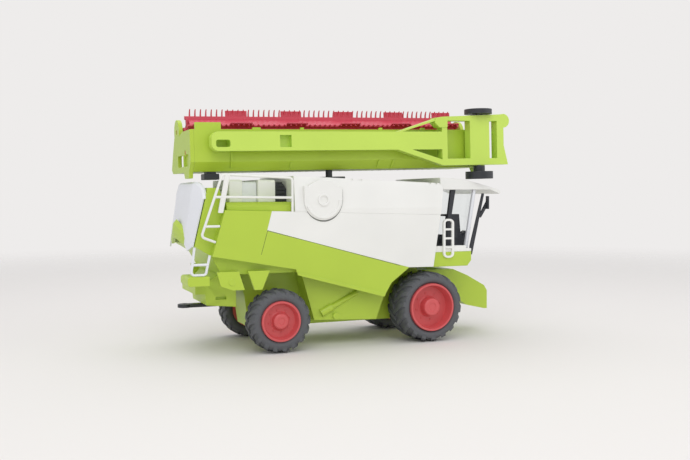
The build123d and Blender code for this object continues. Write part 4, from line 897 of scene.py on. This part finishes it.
def bat_mesh():
    """One bat on the +X side of the axis: bar, comb and ribbed plates."""
    bar = bar_mesh(BAT_BAR, -BAT_HALF, BAT_HALF)
    parts = [row_mesh(bar, tine_mesh(), TINE_COUNT, 0.0, TINE_PITCH)]
    rib = bar_mesh(PLATE_RIB, -RIB_HALF, RIB_HALF)
    for n in range(-PLATES_EACH_SIDE, PLATES_EACH_SIDE + 1):
        middle = MIDDLE_PLATE + n * PLATE_PITCH
        plate = bar_mesh(BAT_PLATE, middle - PLATE_HALF, middle + PLATE_HALF)
        parts.append(row_mesh(plate, rib, RIB_COUNT, middle, RIB_PITCH))
    return merged(*parts)


bat = bat_mesh()
print("tines on a bat", TINE_COUNT, "faces of a bat", len(bat.polygons))

# %% [markdown]
# A tube with six spiders carries the bats. A spider is a ring with five arms, so the ring
# tree sets one arm round it. Between the bats the toy's reel is closed by a core with five
# blunt corners, one under each bat.


# %% Spiders, tube and core
SPIDER_COUNT, SPIDER_HALF = 6, 0.9 * MM
SPIDER_ARM = (8.0, 5.0, 1.5, 0.4)
RING_IN, RING_OUT, RING_HALF, RING_EDGE = 4.2 * MM, 6.5 * MM, 1.3 * MM, 0.5 * MM
RING_FLAT = 0.7 * RING_HALF


def spider_mesh(middle):
    """A spider across the tube: a ring with five arms that reach the bats."""
    arm = bar_mesh(SPIDER_ARM, middle - SPIDER_HALF, middle + SPIDER_HALF)
    ring = turned_mesh(
        [
            (RING_IN, middle - RING_HALF),
            (RING_OUT - RING_EDGE, middle - RING_HALF),
            (RING_OUT, middle - RING_FLAT),
            (RING_OUT, middle + RING_FLAT),
            (RING_OUT - RING_EDGE, middle + RING_HALF),
            (RING_IN, middle + RING_HALF),
        ],
        steps=32,
    )
    return repeated(
        ring_tree, ring, reel_red_plastic, Piece=helper_object(arm), Count=BAT_COUNT, Phase=BAT_TURN
    )


REEL_TUBE_R, TUBE_EDGE = 4.5 * MM, 0.4 * MM
TUBE_HALF = INSIDE_HALF - 2.0 * MM
tube = shaft_mesh(
    [
        (0.0, SHAFT_HALF),
        (SHAFT_R, SHAFT_HALF),
        (SHAFT_R, TUBE_HALF),
        (REEL_TUBE_R - TUBE_EDGE, TUBE_HALF),
        (REEL_TUBE_R, TUBE_HALF - TUBE_EDGE),
    ]
)
CORE_R, CORE_ROUND, CORE_SIDE_SHARE = 12.2 * MM, math.radians(7), 0.955
core_outline = []
for k in range(BAT_COUNT):
    middle = math.radians(BAT_TURN + k * 360 / BAT_COUNT)
    for turn in (-CORE_ROUND, 0.0, CORE_ROUND):
        reach = CORE_R * (1.0 if turn == 0.0 else CORE_SIDE_SHARE)
        core_outline.append((reach * math.cos(middle + turn), reach * math.sin(middle + turn)))
CORE_HALF = BAT_HALF - 3.0 * MM
core = slab_mesh(core_outline, -CORE_HALF, CORE_HALF)
spider_half = BAT_HALF - 2.0 * MM
spiders = [
    spider_mesh((2 * k / (SPIDER_COUNT - 1) - 1) * spider_half) for k in range(SPIDER_COUNT)
]
print("spiders", len(spiders))

# %% [markdown]
# Last, the ring tree sets the bat round the axis five times, and the reel is laid in its
# place. It stays one mesh, because the whole reel turns as one body.

# %% The whole reel
bats = repeated(
    ring_tree,
    None,
    reel_red_plastic,
    Piece=helper_object(bat),
    Count=BAT_COUNT,
    Phase=BAT_TURN,
)
reel_shape = merged(tube, core, bats, *spiders)
reel_shape.transform(REEL_PLACE @ ALONG_HEADER)
joined("tined_reel", [reel_shape], reel_red_plastic, "reel")
print("reel faces", len(pieces["reel"].data.polygons))

# %% [markdown]
# The intake auger is a drum with two helical flights of opposite hand, which carry the crop
# to the middle, where retracting fingers push it into the feeder. A Screw modifier could
# turn a flight too, but a loft of thin sections lets its ends taper off.


# %% Intake auger
DRUM_R, FLIGHT_R = 5.5 * MM, 10.4 * MM
FLIGHT_FROM, FLIGHT_TO = 14.0 * MM, 128.0 * MM
FLIGHT_LEAD = 15.5 * MM
FLIGHT_T, FLIGHT_ROOT = 0.6 * MM, DRUM_R - 0.3 * MM
STEPS_A_TURN = 28
# a flight tapers over a sixth of its length at each end, and thins toward its edge
FLIGHT_TAPER, FLIGHT_STUB, FLIGHT_THIN = 6, 0.05, 0.6


def flight_mesh(side):
    """A helical flight from near the middle to one end of the drum."""
    turns = (FLIGHT_TO - FLIGHT_FROM) / FLIGHT_LEAD
    steps = int(turns * STEPS_A_TURN)
    rings = []
    for k in range(steps + 1):
        share = k / steps
        angle = 2 * math.pi * turns * share
        height = FLIGHT_FROM + (FLIGHT_TO - FLIGHT_FROM) * share
        grown = min(1.0, FLIGHT_TAPER * share, FLIGHT_TAPER * (1 - share) + FLIGHT_STUB)
        tip = DRUM_R + (FLIGHT_R - DRUM_R) * max(grown, FLIGHT_STUB)
        rise = FLIGHT_THIN * FLIGHT_T
        edge = ((FLIGHT_ROOT, FLIGHT_T), (tip, rise), (tip, -rise), (FLIGHT_ROOT, -FLIGHT_T))
        across, up = math.cos(angle), math.sin(angle) * side
        rings.append([(r * across, r * up, side * (height + lift)) for r, lift in edge])
    return loft_mesh(rings)


DRUM_HALF = INSIDE_HALF - 1.0 * MM
drum = shaft_mesh(
    [(0.0, SHAFT_HALF), (SHAFT_R, SHAFT_HALF), (SHAFT_R, DRUM_HALF), (DRUM_R, DRUM_HALF)]
)
FINGERS_ROUND = 3
# columns: distance from the axis and half width of a finger's sections, in mm
FINGER_SECTIONS = ((5.0, 0.7), (9.6, 0.55), (10.2, 0.3))
# columns: a ring's height along the drum in mm, and its turn in degrees
FINGER_RINGS = ((-9.0, 0.0), (-3.0, 60.0), (3.0, 0.0), (9.0, 60.0))
finger = loft_mesh(
    [
        [(out * MM, wide * a * MM, wide * b * MM) for a, b in ((-1, -1), (1, -1), (1, 1), (-1, 1))]
        for out, wide in FINGER_SECTIONS
    ]
)
auger_parts = [drum]
for height, phase in FINGER_RINGS:
    placed = finger.copy()
    placed.transform(Matrix.Translation((0, 0, height * MM)))
    auger_parts.append(
        repeated(
            ring_tree,
            None,
            rim_red_plastic,
            Piece=helper_object(placed),
            Count=FINGERS_ROUND,
            Phase=phase,
        )
    )
auger_shape = merged(*auger_parts, flight_mesh(1), flight_mesh(-1))
auger_shape.transform(AUGER_PLACE @ ALONG_HEADER)
joined("intake_auger_flights", [auger_shape], rim_red_plastic, "intake_auger")
print("auger faces", len(pieces["intake_auger"].data.polygons))

# %% [markdown]
# The rims are turned: a rolled lip, a deep wall, a dish with a ring of bolt heads and a
# raised hub cap round the axle's end. One profile makes them all, with its points counted
# from the frame's rim, so that front and rear rims differ only in a few sizes.

# %% Rims
BOLT_COUNT, BOLT_PHASE = 8, 11.0
BOLT_HEAD = [(0.0, 0.7 * MM), (0.8 * MM, 0.7 * MM), (1.0 * MM, 0.4 * MM), (1.0 * MM, -0.3 * MM)]
LIP_EDGE, LIP_WALL, BORE_R = 0.5 * MM, 1.1 * MM, 1.85 * MM
DISH_SHARE = 0.30
# columns: wheel, hub radius and bolt circle radius in mm
for wheel, hub, bolt_ring in (("front", 7.3, 12.2), ("rear", 6.0, 9.4)):
    for flank, out in (("right", -1), ("left", 1)):
        node = f"{wheel}_rim_{flank}"
        low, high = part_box(node)
        rim_r, face = (high.z - low.z) / 2, (high.y - low.y) / 2
        dish, bed = face - DISH_SHARE * 2 * face, face - 0.9 * MM
        cap = bed - 0.5 * MM
        hub_r = hub * MM
        profile = [
            (BORE_R, -face),
            (rim_r, -face),
            (rim_r, bed),
            (rim_r - 0.3 * LIP_WALL, face - 0.2 * LIP_EDGE),
            (rim_r - 1.0 * LIP_WALL, face),
            (rim_r - 1.7 * LIP_WALL, face - 0.4 * LIP_EDGE),
            (rim_r - 2.0 * LIP_WALL, bed - LIP_EDGE),
            (rim_r - 2.6 * LIP_WALL, dish + 1.2 * MM),
            (rim_r - 3.3 * LIP_WALL, dish),
            (hub_r + 2.4 * MM, dish),
            (hub_r + 1.2 * MM, dish + 0.8 * MM),
            (hub_r + 0.3 * MM, bed - 0.6 * MM),
            (hub_r - 0.6 * MM, bed),
            (0.55 * hub_r, bed),
            (0.5 * hub_r, cap),
            (0.0, cap),
            (0.0, cap - 2.5 * MM),
            (BORE_R, cap - 2.5 * MM),
        ]
        bolt = turned_mesh(BOLT_HEAD, steps=6, closed=False)
        bolt.transform(Matrix.Translation((bolt_ring * MM, 0, dish)))
        shape = repeated(
            ring_tree,
            turned_mesh(profile),
            rim_red_plastic,
            Piece=helper_object(bolt),
            Count=BOLT_COUNT,
            Phase=BOLT_PHASE,
        )
        outwards = Matrix.Rotation(math.radians(-90 * out), 4, "X")
        shape.transform(Matrix.Translation((low + high) / 2) @ outwards)
        joined(f"turned_{node}", [shape], rim_red_plastic, node, smooth_deg=30.0)
print("rim faces", len(pieces["front_rim_right"].data.polygons))

# %% [markdown]
# The rear hood is a thin cover over the rear wall. It has a flat rear face, a slanted flank on
# each side and a rounded top. The rear face ends in a pointed arch, and the green deflector
# comes out of that arch like a blunt bow. Such a shape could be cut from a block, but its
# outline changes all the way across, so a function gives the outline at each place.


# %% The rear hood's outline
# points of the machine's sloping rear wall, (x, z)
WALL_TOP, WALL_LOW = (-129.0, 139.0), (-140.5, 91.0)
HOOD_HALF, CREASE, SHOULDER = 46.0, 30.0, 28.0
HOOD_TOP, SHOULDER_FALL = 142.8, 12.6
HOOD_T = 1.3 * MM
FLANK_GAP, WALL_GAP = 0.9, 0.6
HOOD_ROWS = 8
# the rolled lip: how far in front of the rear face, and how far from the top, each point lies
HOOD_LIP = ((2.6, -0.3), (1.5, 0.0), (0.4, -1.0))
LIP_DEEP = 2.8
# height, and where the rear face lies there
REAR_FACE = [
    (85.0, -145.6),
    (93.0, -144.6),
    (107.0, -142.8),
    (115.0, -141.4),
    (121.0, -140.4),
    (130.0, -139.2),
    (138.0, -138.4),
    (140.5, -136.8),
    (143.0, -134.8),
]
# distance from the middle, and how low the hood reaches there, with a step at the crease
LOWER_EDGE = [(0.0, 109.0), (CREASE, 97.5), (CREASE, 92.0), (38.0, 87.0), (HOOD_HALF, 90.9)]


def between(table, key):
    """A value read off a table of (key, value) pairs whose keys rise."""
    for (low, at_low), (high, at_high) in zip(table, table[1:]):
        if key <= high:
            return at_low + (at_high - at_low) * max(0.0, (key - low) / (high - low))
    return table[-1][1]


def wall_x(z):
    """Where the machine's sloping rear wall lies at a height."""
    share = (WALL_TOP[1] - min(z, WALL_TOP[1])) / (WALL_TOP[1] - WALL_LOW[1])
    return WALL_TOP[0] + (WALL_LOW[0] - WALL_TOP[0]) * share


def hood_x(y, z):
    """Where the hood's outer face lies: flat behind, slanted in at the flanks."""
    slant = max(0.0, (abs(y) - CREASE) / (HOOD_HALF - CREASE))
    return between(REAR_FACE, z) * (1 - slant) + (wall_x(z) - FLANK_GAP) * slant


def hood_skin(y):
    """The hood's outline at one place across, from its top lip down to its lower edge."""
    out = abs(y)
    top = HOOD_TOP - SHOULDER_FALL * max(0.0, (out - SHOULDER) / (HOOD_HALF - SHOULDER)) ** 3
    low = between(LOWER_EDGE, out)
    start = top - LIP_DEEP
    back = hood_x(y, start)
    spots = [(back + ahead, top + lift) for ahead, lift in HOOD_LIP]
    for row in range(HOOD_ROWS + 1):
        z = start + (low - start) * row / HOOD_ROWS
        spots.append((hood_x(y, z), z))
    return [Vector((min(x, wall_x(z) - WALL_GAP), y, z)) * MM for x, z in spots]


middle_outline = hood_skin(0.0)
print("hood reaches back to", round(min(spot.x for spot in middle_outline) / MM, 1), "mm")

# %% [markdown]
# The outlines are joined to a skin, and a Solidify modifier gives that skin the even wall
# that moulded covers have. A pin under the top, held by two ears, is what the hood turns on.


# %% The rear hood's skin and pin
def both_sides(half):
    """The places across on one side, with their mirrored places before them."""
    return [-y for y in reversed(half[1:])] + half


def sheet_mesh(rows, thickness):
    """A thin skin over rows of points, thickened toward its inside."""
    work = bmesh.new()
    grid = [[work.verts.new(p) for p in row] for row in rows]
    for here, after in zip(grid, grid[1:]):
        for n in range(len(here) - 1):
            work.faces.new((here[n], here[n + 1], after[n + 1], after[n]))
    sheet = bpy.data.meshes.new("sheet")
    work.to_mesh(sheet)
    work.free()
    holder = put_in_scene("sheet", sheet)
    wall = holder.modifiers.new("wall", "SOLIDIFY")
    wall.thickness = thickness
    wall.offset = -1.0
    return mesh_of(holder)


# the places across lie close together at the crease and at the rounded end
half_hood = [0.0, 8.0, 16.0, 24.0, 28.0, 29.9, 30.1, 32.0, 34.0, 36.0, 38.0, 40.0, 42.0, 44.0]
half_hood += [45.2, HOOD_HALF]
skin = sheet_mesh([hood_skin(y) for y in both_sides(half_hood)], HOOD_T)

# the hinge pin under the top, and the outline (x, z) of the two ears that hold it
PIN_R, PIN_HALF = 0.8 * MM, 30.5 * MM
PIN_PLACE = (-135.2 * MM, 0, 134.5 * MM)
EAR = [(-137.9, 131.5), (-134.2, 133.2), (-134.0, 135.8), (-137.9, 138.5)]
EAR_FROM, EAR_TO = 28.4, 29.6
UPRIGHT = Matrix(((1, 0, 0, 0), (0, 0, 1, 0), (0, 1, 0, 0), (0, 0, 0, 1)))
pin = shaft_mesh([(0.0, PIN_HALF), (PIN_R, PIN_HALF)], steps=16)
pin.transform(Matrix.Translation(PIN_PLACE) @ Matrix.Rotation(math.radians(90), 4, "X"))
ears = [slab_mesh(EAR, side * EAR_FROM, side * EAR_TO) for side in (-1, 1)]
for ear in ears:
    ear.transform(Matrix.Scale(MM, 4) @ UPRIGHT)
joined("moulded_rear_hood", [skin, pin, *ears], cool_white_plastic, "rear_hood", smooth_deg=24.0)
print("hood faces", len(pieces["rear_hood"].data.polygons))

# %% [markdown]
# The deflector is a thin skin like the hood. Its rows run from one flank over the bow to the
# other flank, and each row bulges a little, as a bent sheet does.

# %% Hood deflector
BOW_HALF, BOW_POWER = 30.5, 1.15
BOW_ROWS, BOW_BULGE = 4, 0.4
BOW_T = 0.9 * MM
# the lip: how far in front of the bow and how far from its upper edge each point lies
BOW_LIP, BOW_FACE_FROM = ((2.6, 2.0), (0.6, -0.3)), 0.08
BOW_TURNED_IN, BOW_TURNED_UP = 1.6, 0.2
# sizes at the bow in the middle and at the flank: upper edge, lower edge, lean and depth
BOW_TOP, BOW_LOW = (110.0, 98.5), (98.0, 90.8)
BOW_LEAN, BOW_OUT = (0.0, -0.6), (-148.0, -143.4)
half_bow = [0.0, 2.0, 8.0, 16.0, 24.0, BOW_HALF]


def bow_size(y, sizes):
    """A size that runs from the bow in the middle to the flank."""
    at_bow, at_flank = sizes
    return at_bow + (at_flank - at_bow) * (abs(y) / BOW_HALF) ** BOW_POWER


def bow_row(y):
    """The deflector's outline at one place across: a lip, a bulging face, a turned-in edge."""
    top, low = bow_size(y, BOW_TOP), bow_size(y, BOW_LOW)
    lean, out = bow_size(y, BOW_LEAN), bow_size(y, BOW_OUT)
    spots = [(out + ahead, top + lift) for ahead, lift in BOW_LIP]
    for row in range(BOW_ROWS + 1):
        share = row / BOW_ROWS
        bulge = BOW_BULGE * math.sin(math.pi * share)
        down = BOW_FACE_FROM + (1 - BOW_FACE_FROM) * share
        spots.append((out + lean * share - bulge, top + (low - top) * down))
    spots.append((out + lean + BOW_TURNED_IN, low + BOW_TURNED_UP))
    return [Vector((x, y, z)) * MM for x, z in spots]


bow = sheet_mesh([bow_row(y) for y in both_sides(half_bow)], BOW_T)
joined("bowed_deflector", [bow], lime_plastic, "hood_deflector", smooth_deg=30.0)
print("deflector faces", len(pieces["hood_deflector"].data.polygons))

# %% [markdown]
# Where two mouldings meet, a thin line of shade shows. Two of them show from the side: the
# shadow under the lower edge of the round screen cover, which stands off the wall, and the shade
# along the seam in the green side panel. Both are painted shade. A painted line would need a
# pattern for each piece, so both are thin dark strips, let into the surface, that ride on the
# machine.


# %% Painted shade in the gaps between mouldings
def strip_mesh(path, y, deep):
    """A thin strip along points (x, z, width) in millimetres, standing on a plane of one y."""
    rings = []
    for k, (x, z, wide) in enumerate(path):
        ahead, behind = path[min(k + 1, len(path) - 1)], path[max(k - 1, 0)]
        along = Vector((ahead[0] - behind[0], ahead[1] - behind[1])).normalized() * wide / 2
        rings.append(
            [
                Vector((x + side * along.y, height, z - side * along.x)) * MM
                for side, height in ((1, y), (-1, y), (-1, y + deep), (1, y + deep))
            ]
        )
    return loft_mesh(rings)


cover_low, cover_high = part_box("screen_cover")
COVER_X, COVER_Z = (cover_low.x + cover_high.x) / 2 / MM, (cover_low.z + cover_high.z) / 2 / MM
COVER_R = (cover_high.z - cover_low.z) / 2 / MM
COVER_SHADOW_Y, COVER_SHADOW_DEEP = -54.05, 0.5
SEAM_SHADE_Y, SEAM_SHADE_DEEP = -54.02, 0.4
# the painted shadow runs round the cover's lower edge and swells at its foot and at its side
COVER_SHADOW_LEAST, FOOT_SWELL, SIDE_SWELL, FOOT_TURN = 0.3, 1.1, 0.35, -82
# past the side it runs straight up and ends: height over the cover's middle, width
COVER_SHADOW_ENDS, COVER_SHADOW_OUT = ((6.0, 0.6), (9.0, 0.4)), 0.3
shade_strip_path = []
for turn in range(-146, 1, 6):
    angle = math.radians(turn)
    foot = max(0.0, math.cos(math.radians(turn - FOOT_TURN))) ** 3
    wide = COVER_SHADOW_LEAST + FOOT_SWELL * foot + SIDE_SWELL * max(0.0, math.cos(angle))
    reach = COVER_R + wide / 2
    shade_strip_path.append((COVER_X + reach * math.cos(angle), COVER_Z + reach * math.sin(angle), wide))
for up, wide in COVER_SHADOW_ENDS:
    shade_strip_path.append((COVER_X + COVER_R + COVER_SHADOW_OUT, COVER_Z + up, wide))
cover_shade_strip = strip_mesh(shade_strip_path, COVER_SHADOW_Y, COVER_SHADOW_DEEP)
seam_shade_paths = (
    [(-80.7, 103.5, 0.45), (-86.4, 83.4, 0.45)],
    [(-80.7, 103.3, 0.5), (41.0, 70.0, 0.5)],
)
seam_shade_strips = [strip_mesh(seam_shade_path, SEAM_SHADE_Y, SEAM_SHADE_DEEP) for seam_shade_path in seam_shade_paths]
# both strips are painted shade: dark matte plastic that stands for the shadow at the cover and along the
# seam
for title, meshes, finish in (
    ("screen_cover_gap", [cover_shade_strip], painted_shadow_grey_plastic),
    ("side_panel_seams", seam_shade_strips, painted_shade_green_plastic),
):
    shade_strip = joined(title, meshes, finish)
    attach(shade_strip, body_of_node["screen_cover"])
print("shade_strips", 1 + len(seam_shade_strips))

# %% [markdown]
# Inside the cab stand a level steering wheel, its column, and a dark console beside the
# door. The wheel and its spokes are tubes along a path, as the railing is, and the column's
# foot and the console are slabs.

# %% Steering wheel and console
WHEEL_SPOT = Vector((119.3, 0.0, 112.6)) * MM
WHEEL_R, WHEEL_TUBE_R, SPOKE_R = 7.4 * MM, 0.9 * MM, 0.6 * MM
SPOKE_TURNS = (0.0, 2.1, 4.2)
COLUMN_FROM, COLUMN_R = Vector((116.5, 0.0, 83.2)) * MM, 2.2 * MM
FOOT_SECTION = (116.4, 5.0, 6.0, 1.5)
FOOT_LOW, FOOT_HIGH = 83.2 * MM, 88.0 * MM
CONSOLE_FROM, CONSOLE_TO = -36.0 * MM, -29.0 * MM
CONSOLE = [(100.5, 114.4), (111.1, 114.3), (112.7, 95.5), (118.6, 98.7), (119.7, 84.9), (98.8, 85.5)]


def on_wheel(angle):
    """A point on the steering wheel's ring."""
    return WHEEL_SPOT + Vector((math.cos(angle), math.sin(angle), 0.0)) * WHEEL_R


wheel_path = [on_wheel(math.radians(turn)) for turn in range(0, 360, 10)]
wheel_ring = tube_mesh(wheel_path, WHEEL_TUBE_R, corner=0, closed=True)
spokes = [tube_mesh([WHEEL_SPOT, on_wheel(turn)], SPOKE_R, corner=0) for turn in SPOKE_TURNS]
console = slab_mesh([(x * MM, z * MM) for x, z in CONSOLE], CONSOLE_FROM, CONSOLE_TO)
console.transform(UPRIGHT)
column = tube_mesh([COLUMN_FROM, WHEEL_SPOT], COLUMN_R, corner=0, sides=6)
column_foot = bar_mesh(FOOT_SECTION, FOOT_LOW, FOOT_HIGH)
joined(
    "steering_wheel_and_console",
    [wheel_ring, *spokes, column, column_foot, console],
    black_plastic,
    "steering_column",
)
print("steering faces", len(pieces["steering_column"].data.polygons))

# %% [markdown]
# Two pieces differ in colour from the rest of their slot: the stowed carriage's frame is a
# brighter lime than the body, and the front posts of the cab are pale, while its door posts
# are black. The cab frame is one piece, so its front faces get a second material.

# %% Colours that differ inside a slot
pieces["carriage_frame"].data.materials[0] = bright_lime_plastic
cab_posts = pieces["cab_frame"].data
cab_posts.materials.append(cool_white_plastic)
FRONT_POST_X = 105.0 * MM
for polygon in cab_posts.polygons:
    reach = sum(cab_posts.vertices[v].co.x for v in polygon.vertices) / len(polygon.vertices)
    if reach > FRONT_POST_X:
        polygon.material_index = 1
print("pale faces of the cab frame", sum(p.material_index for p in cab_posts.polygons))

# %% [markdown]
# The floor is a plain pale sheet. Far from the toy it fades out, so that it meets the pale
# background without a horizon line, which a curved backdrop would need a bigger mesh for.

# %% Floor
FLOOR_HALF = 3.0
FADE_FROM, FADE_TO = 0.55, 1.6
floor_mesh = bpy.data.meshes.new("floor_sheet")
corners = [(x * FLOOR_HALF, y * FLOOR_HALF, 0.0) for x, y in ((-1, -1), (1, -1), (1, 1), (-1, 1))]
floor_mesh.from_pydata(corners, [], [(0, 1, 2, 3)])
floor = put_in_scene("floor", floor_mesh)
floor_finish = bpy.data.materials.new("pale_floor")
floor_finish.use_nodes = True
floor_tree = floor_finish.node_tree
floor_shader = floor_tree.nodes["Principled BSDF"]
floor_shader.inputs["Base Color"].default_value = linear(231, 228, 225)
floor_shader.inputs["Roughness"].default_value = 0.85
floor_place = add(floor_tree, "ShaderNodeTexCoord")
away = add(floor_tree, "ShaderNodeVectorMath", operation="LENGTH")
fade = add(floor_tree, "ShaderNodeMapRange", From_Min=FADE_FROM, From_Max=FADE_TO, To_Min=1.0, To_Max=0.0)
fade.interpolation_type = "SMOOTHSTEP"
floor_tree.links.new(floor_place.outputs["Object"], away.inputs[0])
floor_tree.links.new(away.outputs["Value"], fade.inputs["Value"])
floor_tree.links.new(fade.outputs["Result"], floor_shader.inputs["Alpha"])
floor_mesh.materials.append(floor_finish)
print("floor reaches", FLOOR_HALF)

# %% [markdown]
# Soft studio light: a pale world fills every side, and large area lamps above give the
# gentle modelling and soft shadows. A small lamp would draw hard shadows and sharp glints,
# and make the plastic look wet.

# %% Light
bpy.context.scene.view_settings.view_transform = "Standard"
world = bpy.data.worlds.new("studio")
bpy.context.scene.world = world
world.use_nodes = True
world_tree = world.node_tree
# the camera, and what it sees through clear plastic, gets the second background's colour
soft = world_tree.nodes["Background"]
soft.inputs["Color"].default_value = linear(248, 248, 250)
soft.inputs["Strength"].default_value = 0.78
seen = world_tree.nodes.new("ShaderNodeBackground")
seen.inputs["Color"].default_value = linear(238, 236, 235)
seen.inputs["Strength"].default_value = 1.0
rays = world_tree.nodes.new("ShaderNodeLightPath")
through = add(world_tree, "ShaderNodeMath", operation="MAXIMUM")
world_tree.links.new(rays.outputs["Is Camera Ray"], through.inputs[0])
world_tree.links.new(rays.outputs["Is Transmission Ray"], through.inputs[1])
choice = world_tree.nodes.new("ShaderNodeMixShader")
world_tree.links.new(through.outputs[0], choice.inputs["Fac"])
world_tree.links.new(soft.outputs[0], choice.inputs[1])
world_tree.links.new(seen.outputs[0], choice.inputs[2])
world_tree.links.new(choice.outputs[0], world_tree.nodes["World Output"].inputs["Surface"])


def soft_lamp(name, place, aim, size, power):
    """A square area lamp that looks at a point."""
    data = bpy.data.lights.new(name, "AREA")
    data.size = size
    data.energy = power
    lamp = put_in_scene(name, data)
    lamp.location = place
    lamp.rotation_mode = "QUATERNION"
    lamp.rotation_quaternion = (Vector(aim) - Vector(place)).to_track_quat("-Z", "Y")
    return lamp


MIDDLE = (0.0, 0.0, 0.1)
lamps = [
    soft_lamp("key", (-0.35, -0.9, 0.95), MIDDLE, 0.9, 4.5),
    soft_lamp("fill", (0.9, -0.6, 0.5), MIDDLE, 0.9, 1.5),
    soft_lamp("top", (0.0, 0.3, 1.1), MIDDLE, 1.0, 3.0),
]
print("lamps", len(lamps))

# %% [markdown]
# The camera stands a little above the toy's middle, about 22 degrees behind square to its
# right side. Its place was found by fitting the wheels and the main corners of the photo.

# %% Camera
YAW, PITCH, ROLL = math.radians(22.04), math.radians(2.25), math.radians(-0.31)
CAMERA_SPOT = (-0.2862, -0.7328, 0.1312)
FOCAL_PIXELS, PHOTO_PIXELS = 850.0, 690.0
ahead = Vector((math.sin(YAW) * math.cos(PITCH), math.cos(YAW) * math.cos(PITCH), -math.sin(PITCH)))
level_right = Vector((math.cos(YAW), -math.sin(YAW), 0.0))
level_up = level_right.cross(ahead)
right = level_right * math.cos(ROLL) + level_up * math.sin(ROLL)
up = level_up * math.cos(ROLL) - level_right * math.sin(ROLL)
camera_data = bpy.data.cameras.new("photo_camera")
camera_data.sensor_width = 36.0
camera_data.lens = FOCAL_PIXELS / PHOTO_PIXELS * camera_data.sensor_width
camera_data.clip_start = 0.01
camera = put_in_scene("photo_camera", camera_data)
turned = Matrix((right, up, -ahead)).transposed().to_4x4()
camera.matrix_world = Matrix.Translation(CAMERA_SPOT) @ turned
bpy.context.scene.camera = camera
print("lens", round(camera_data.lens, 2))
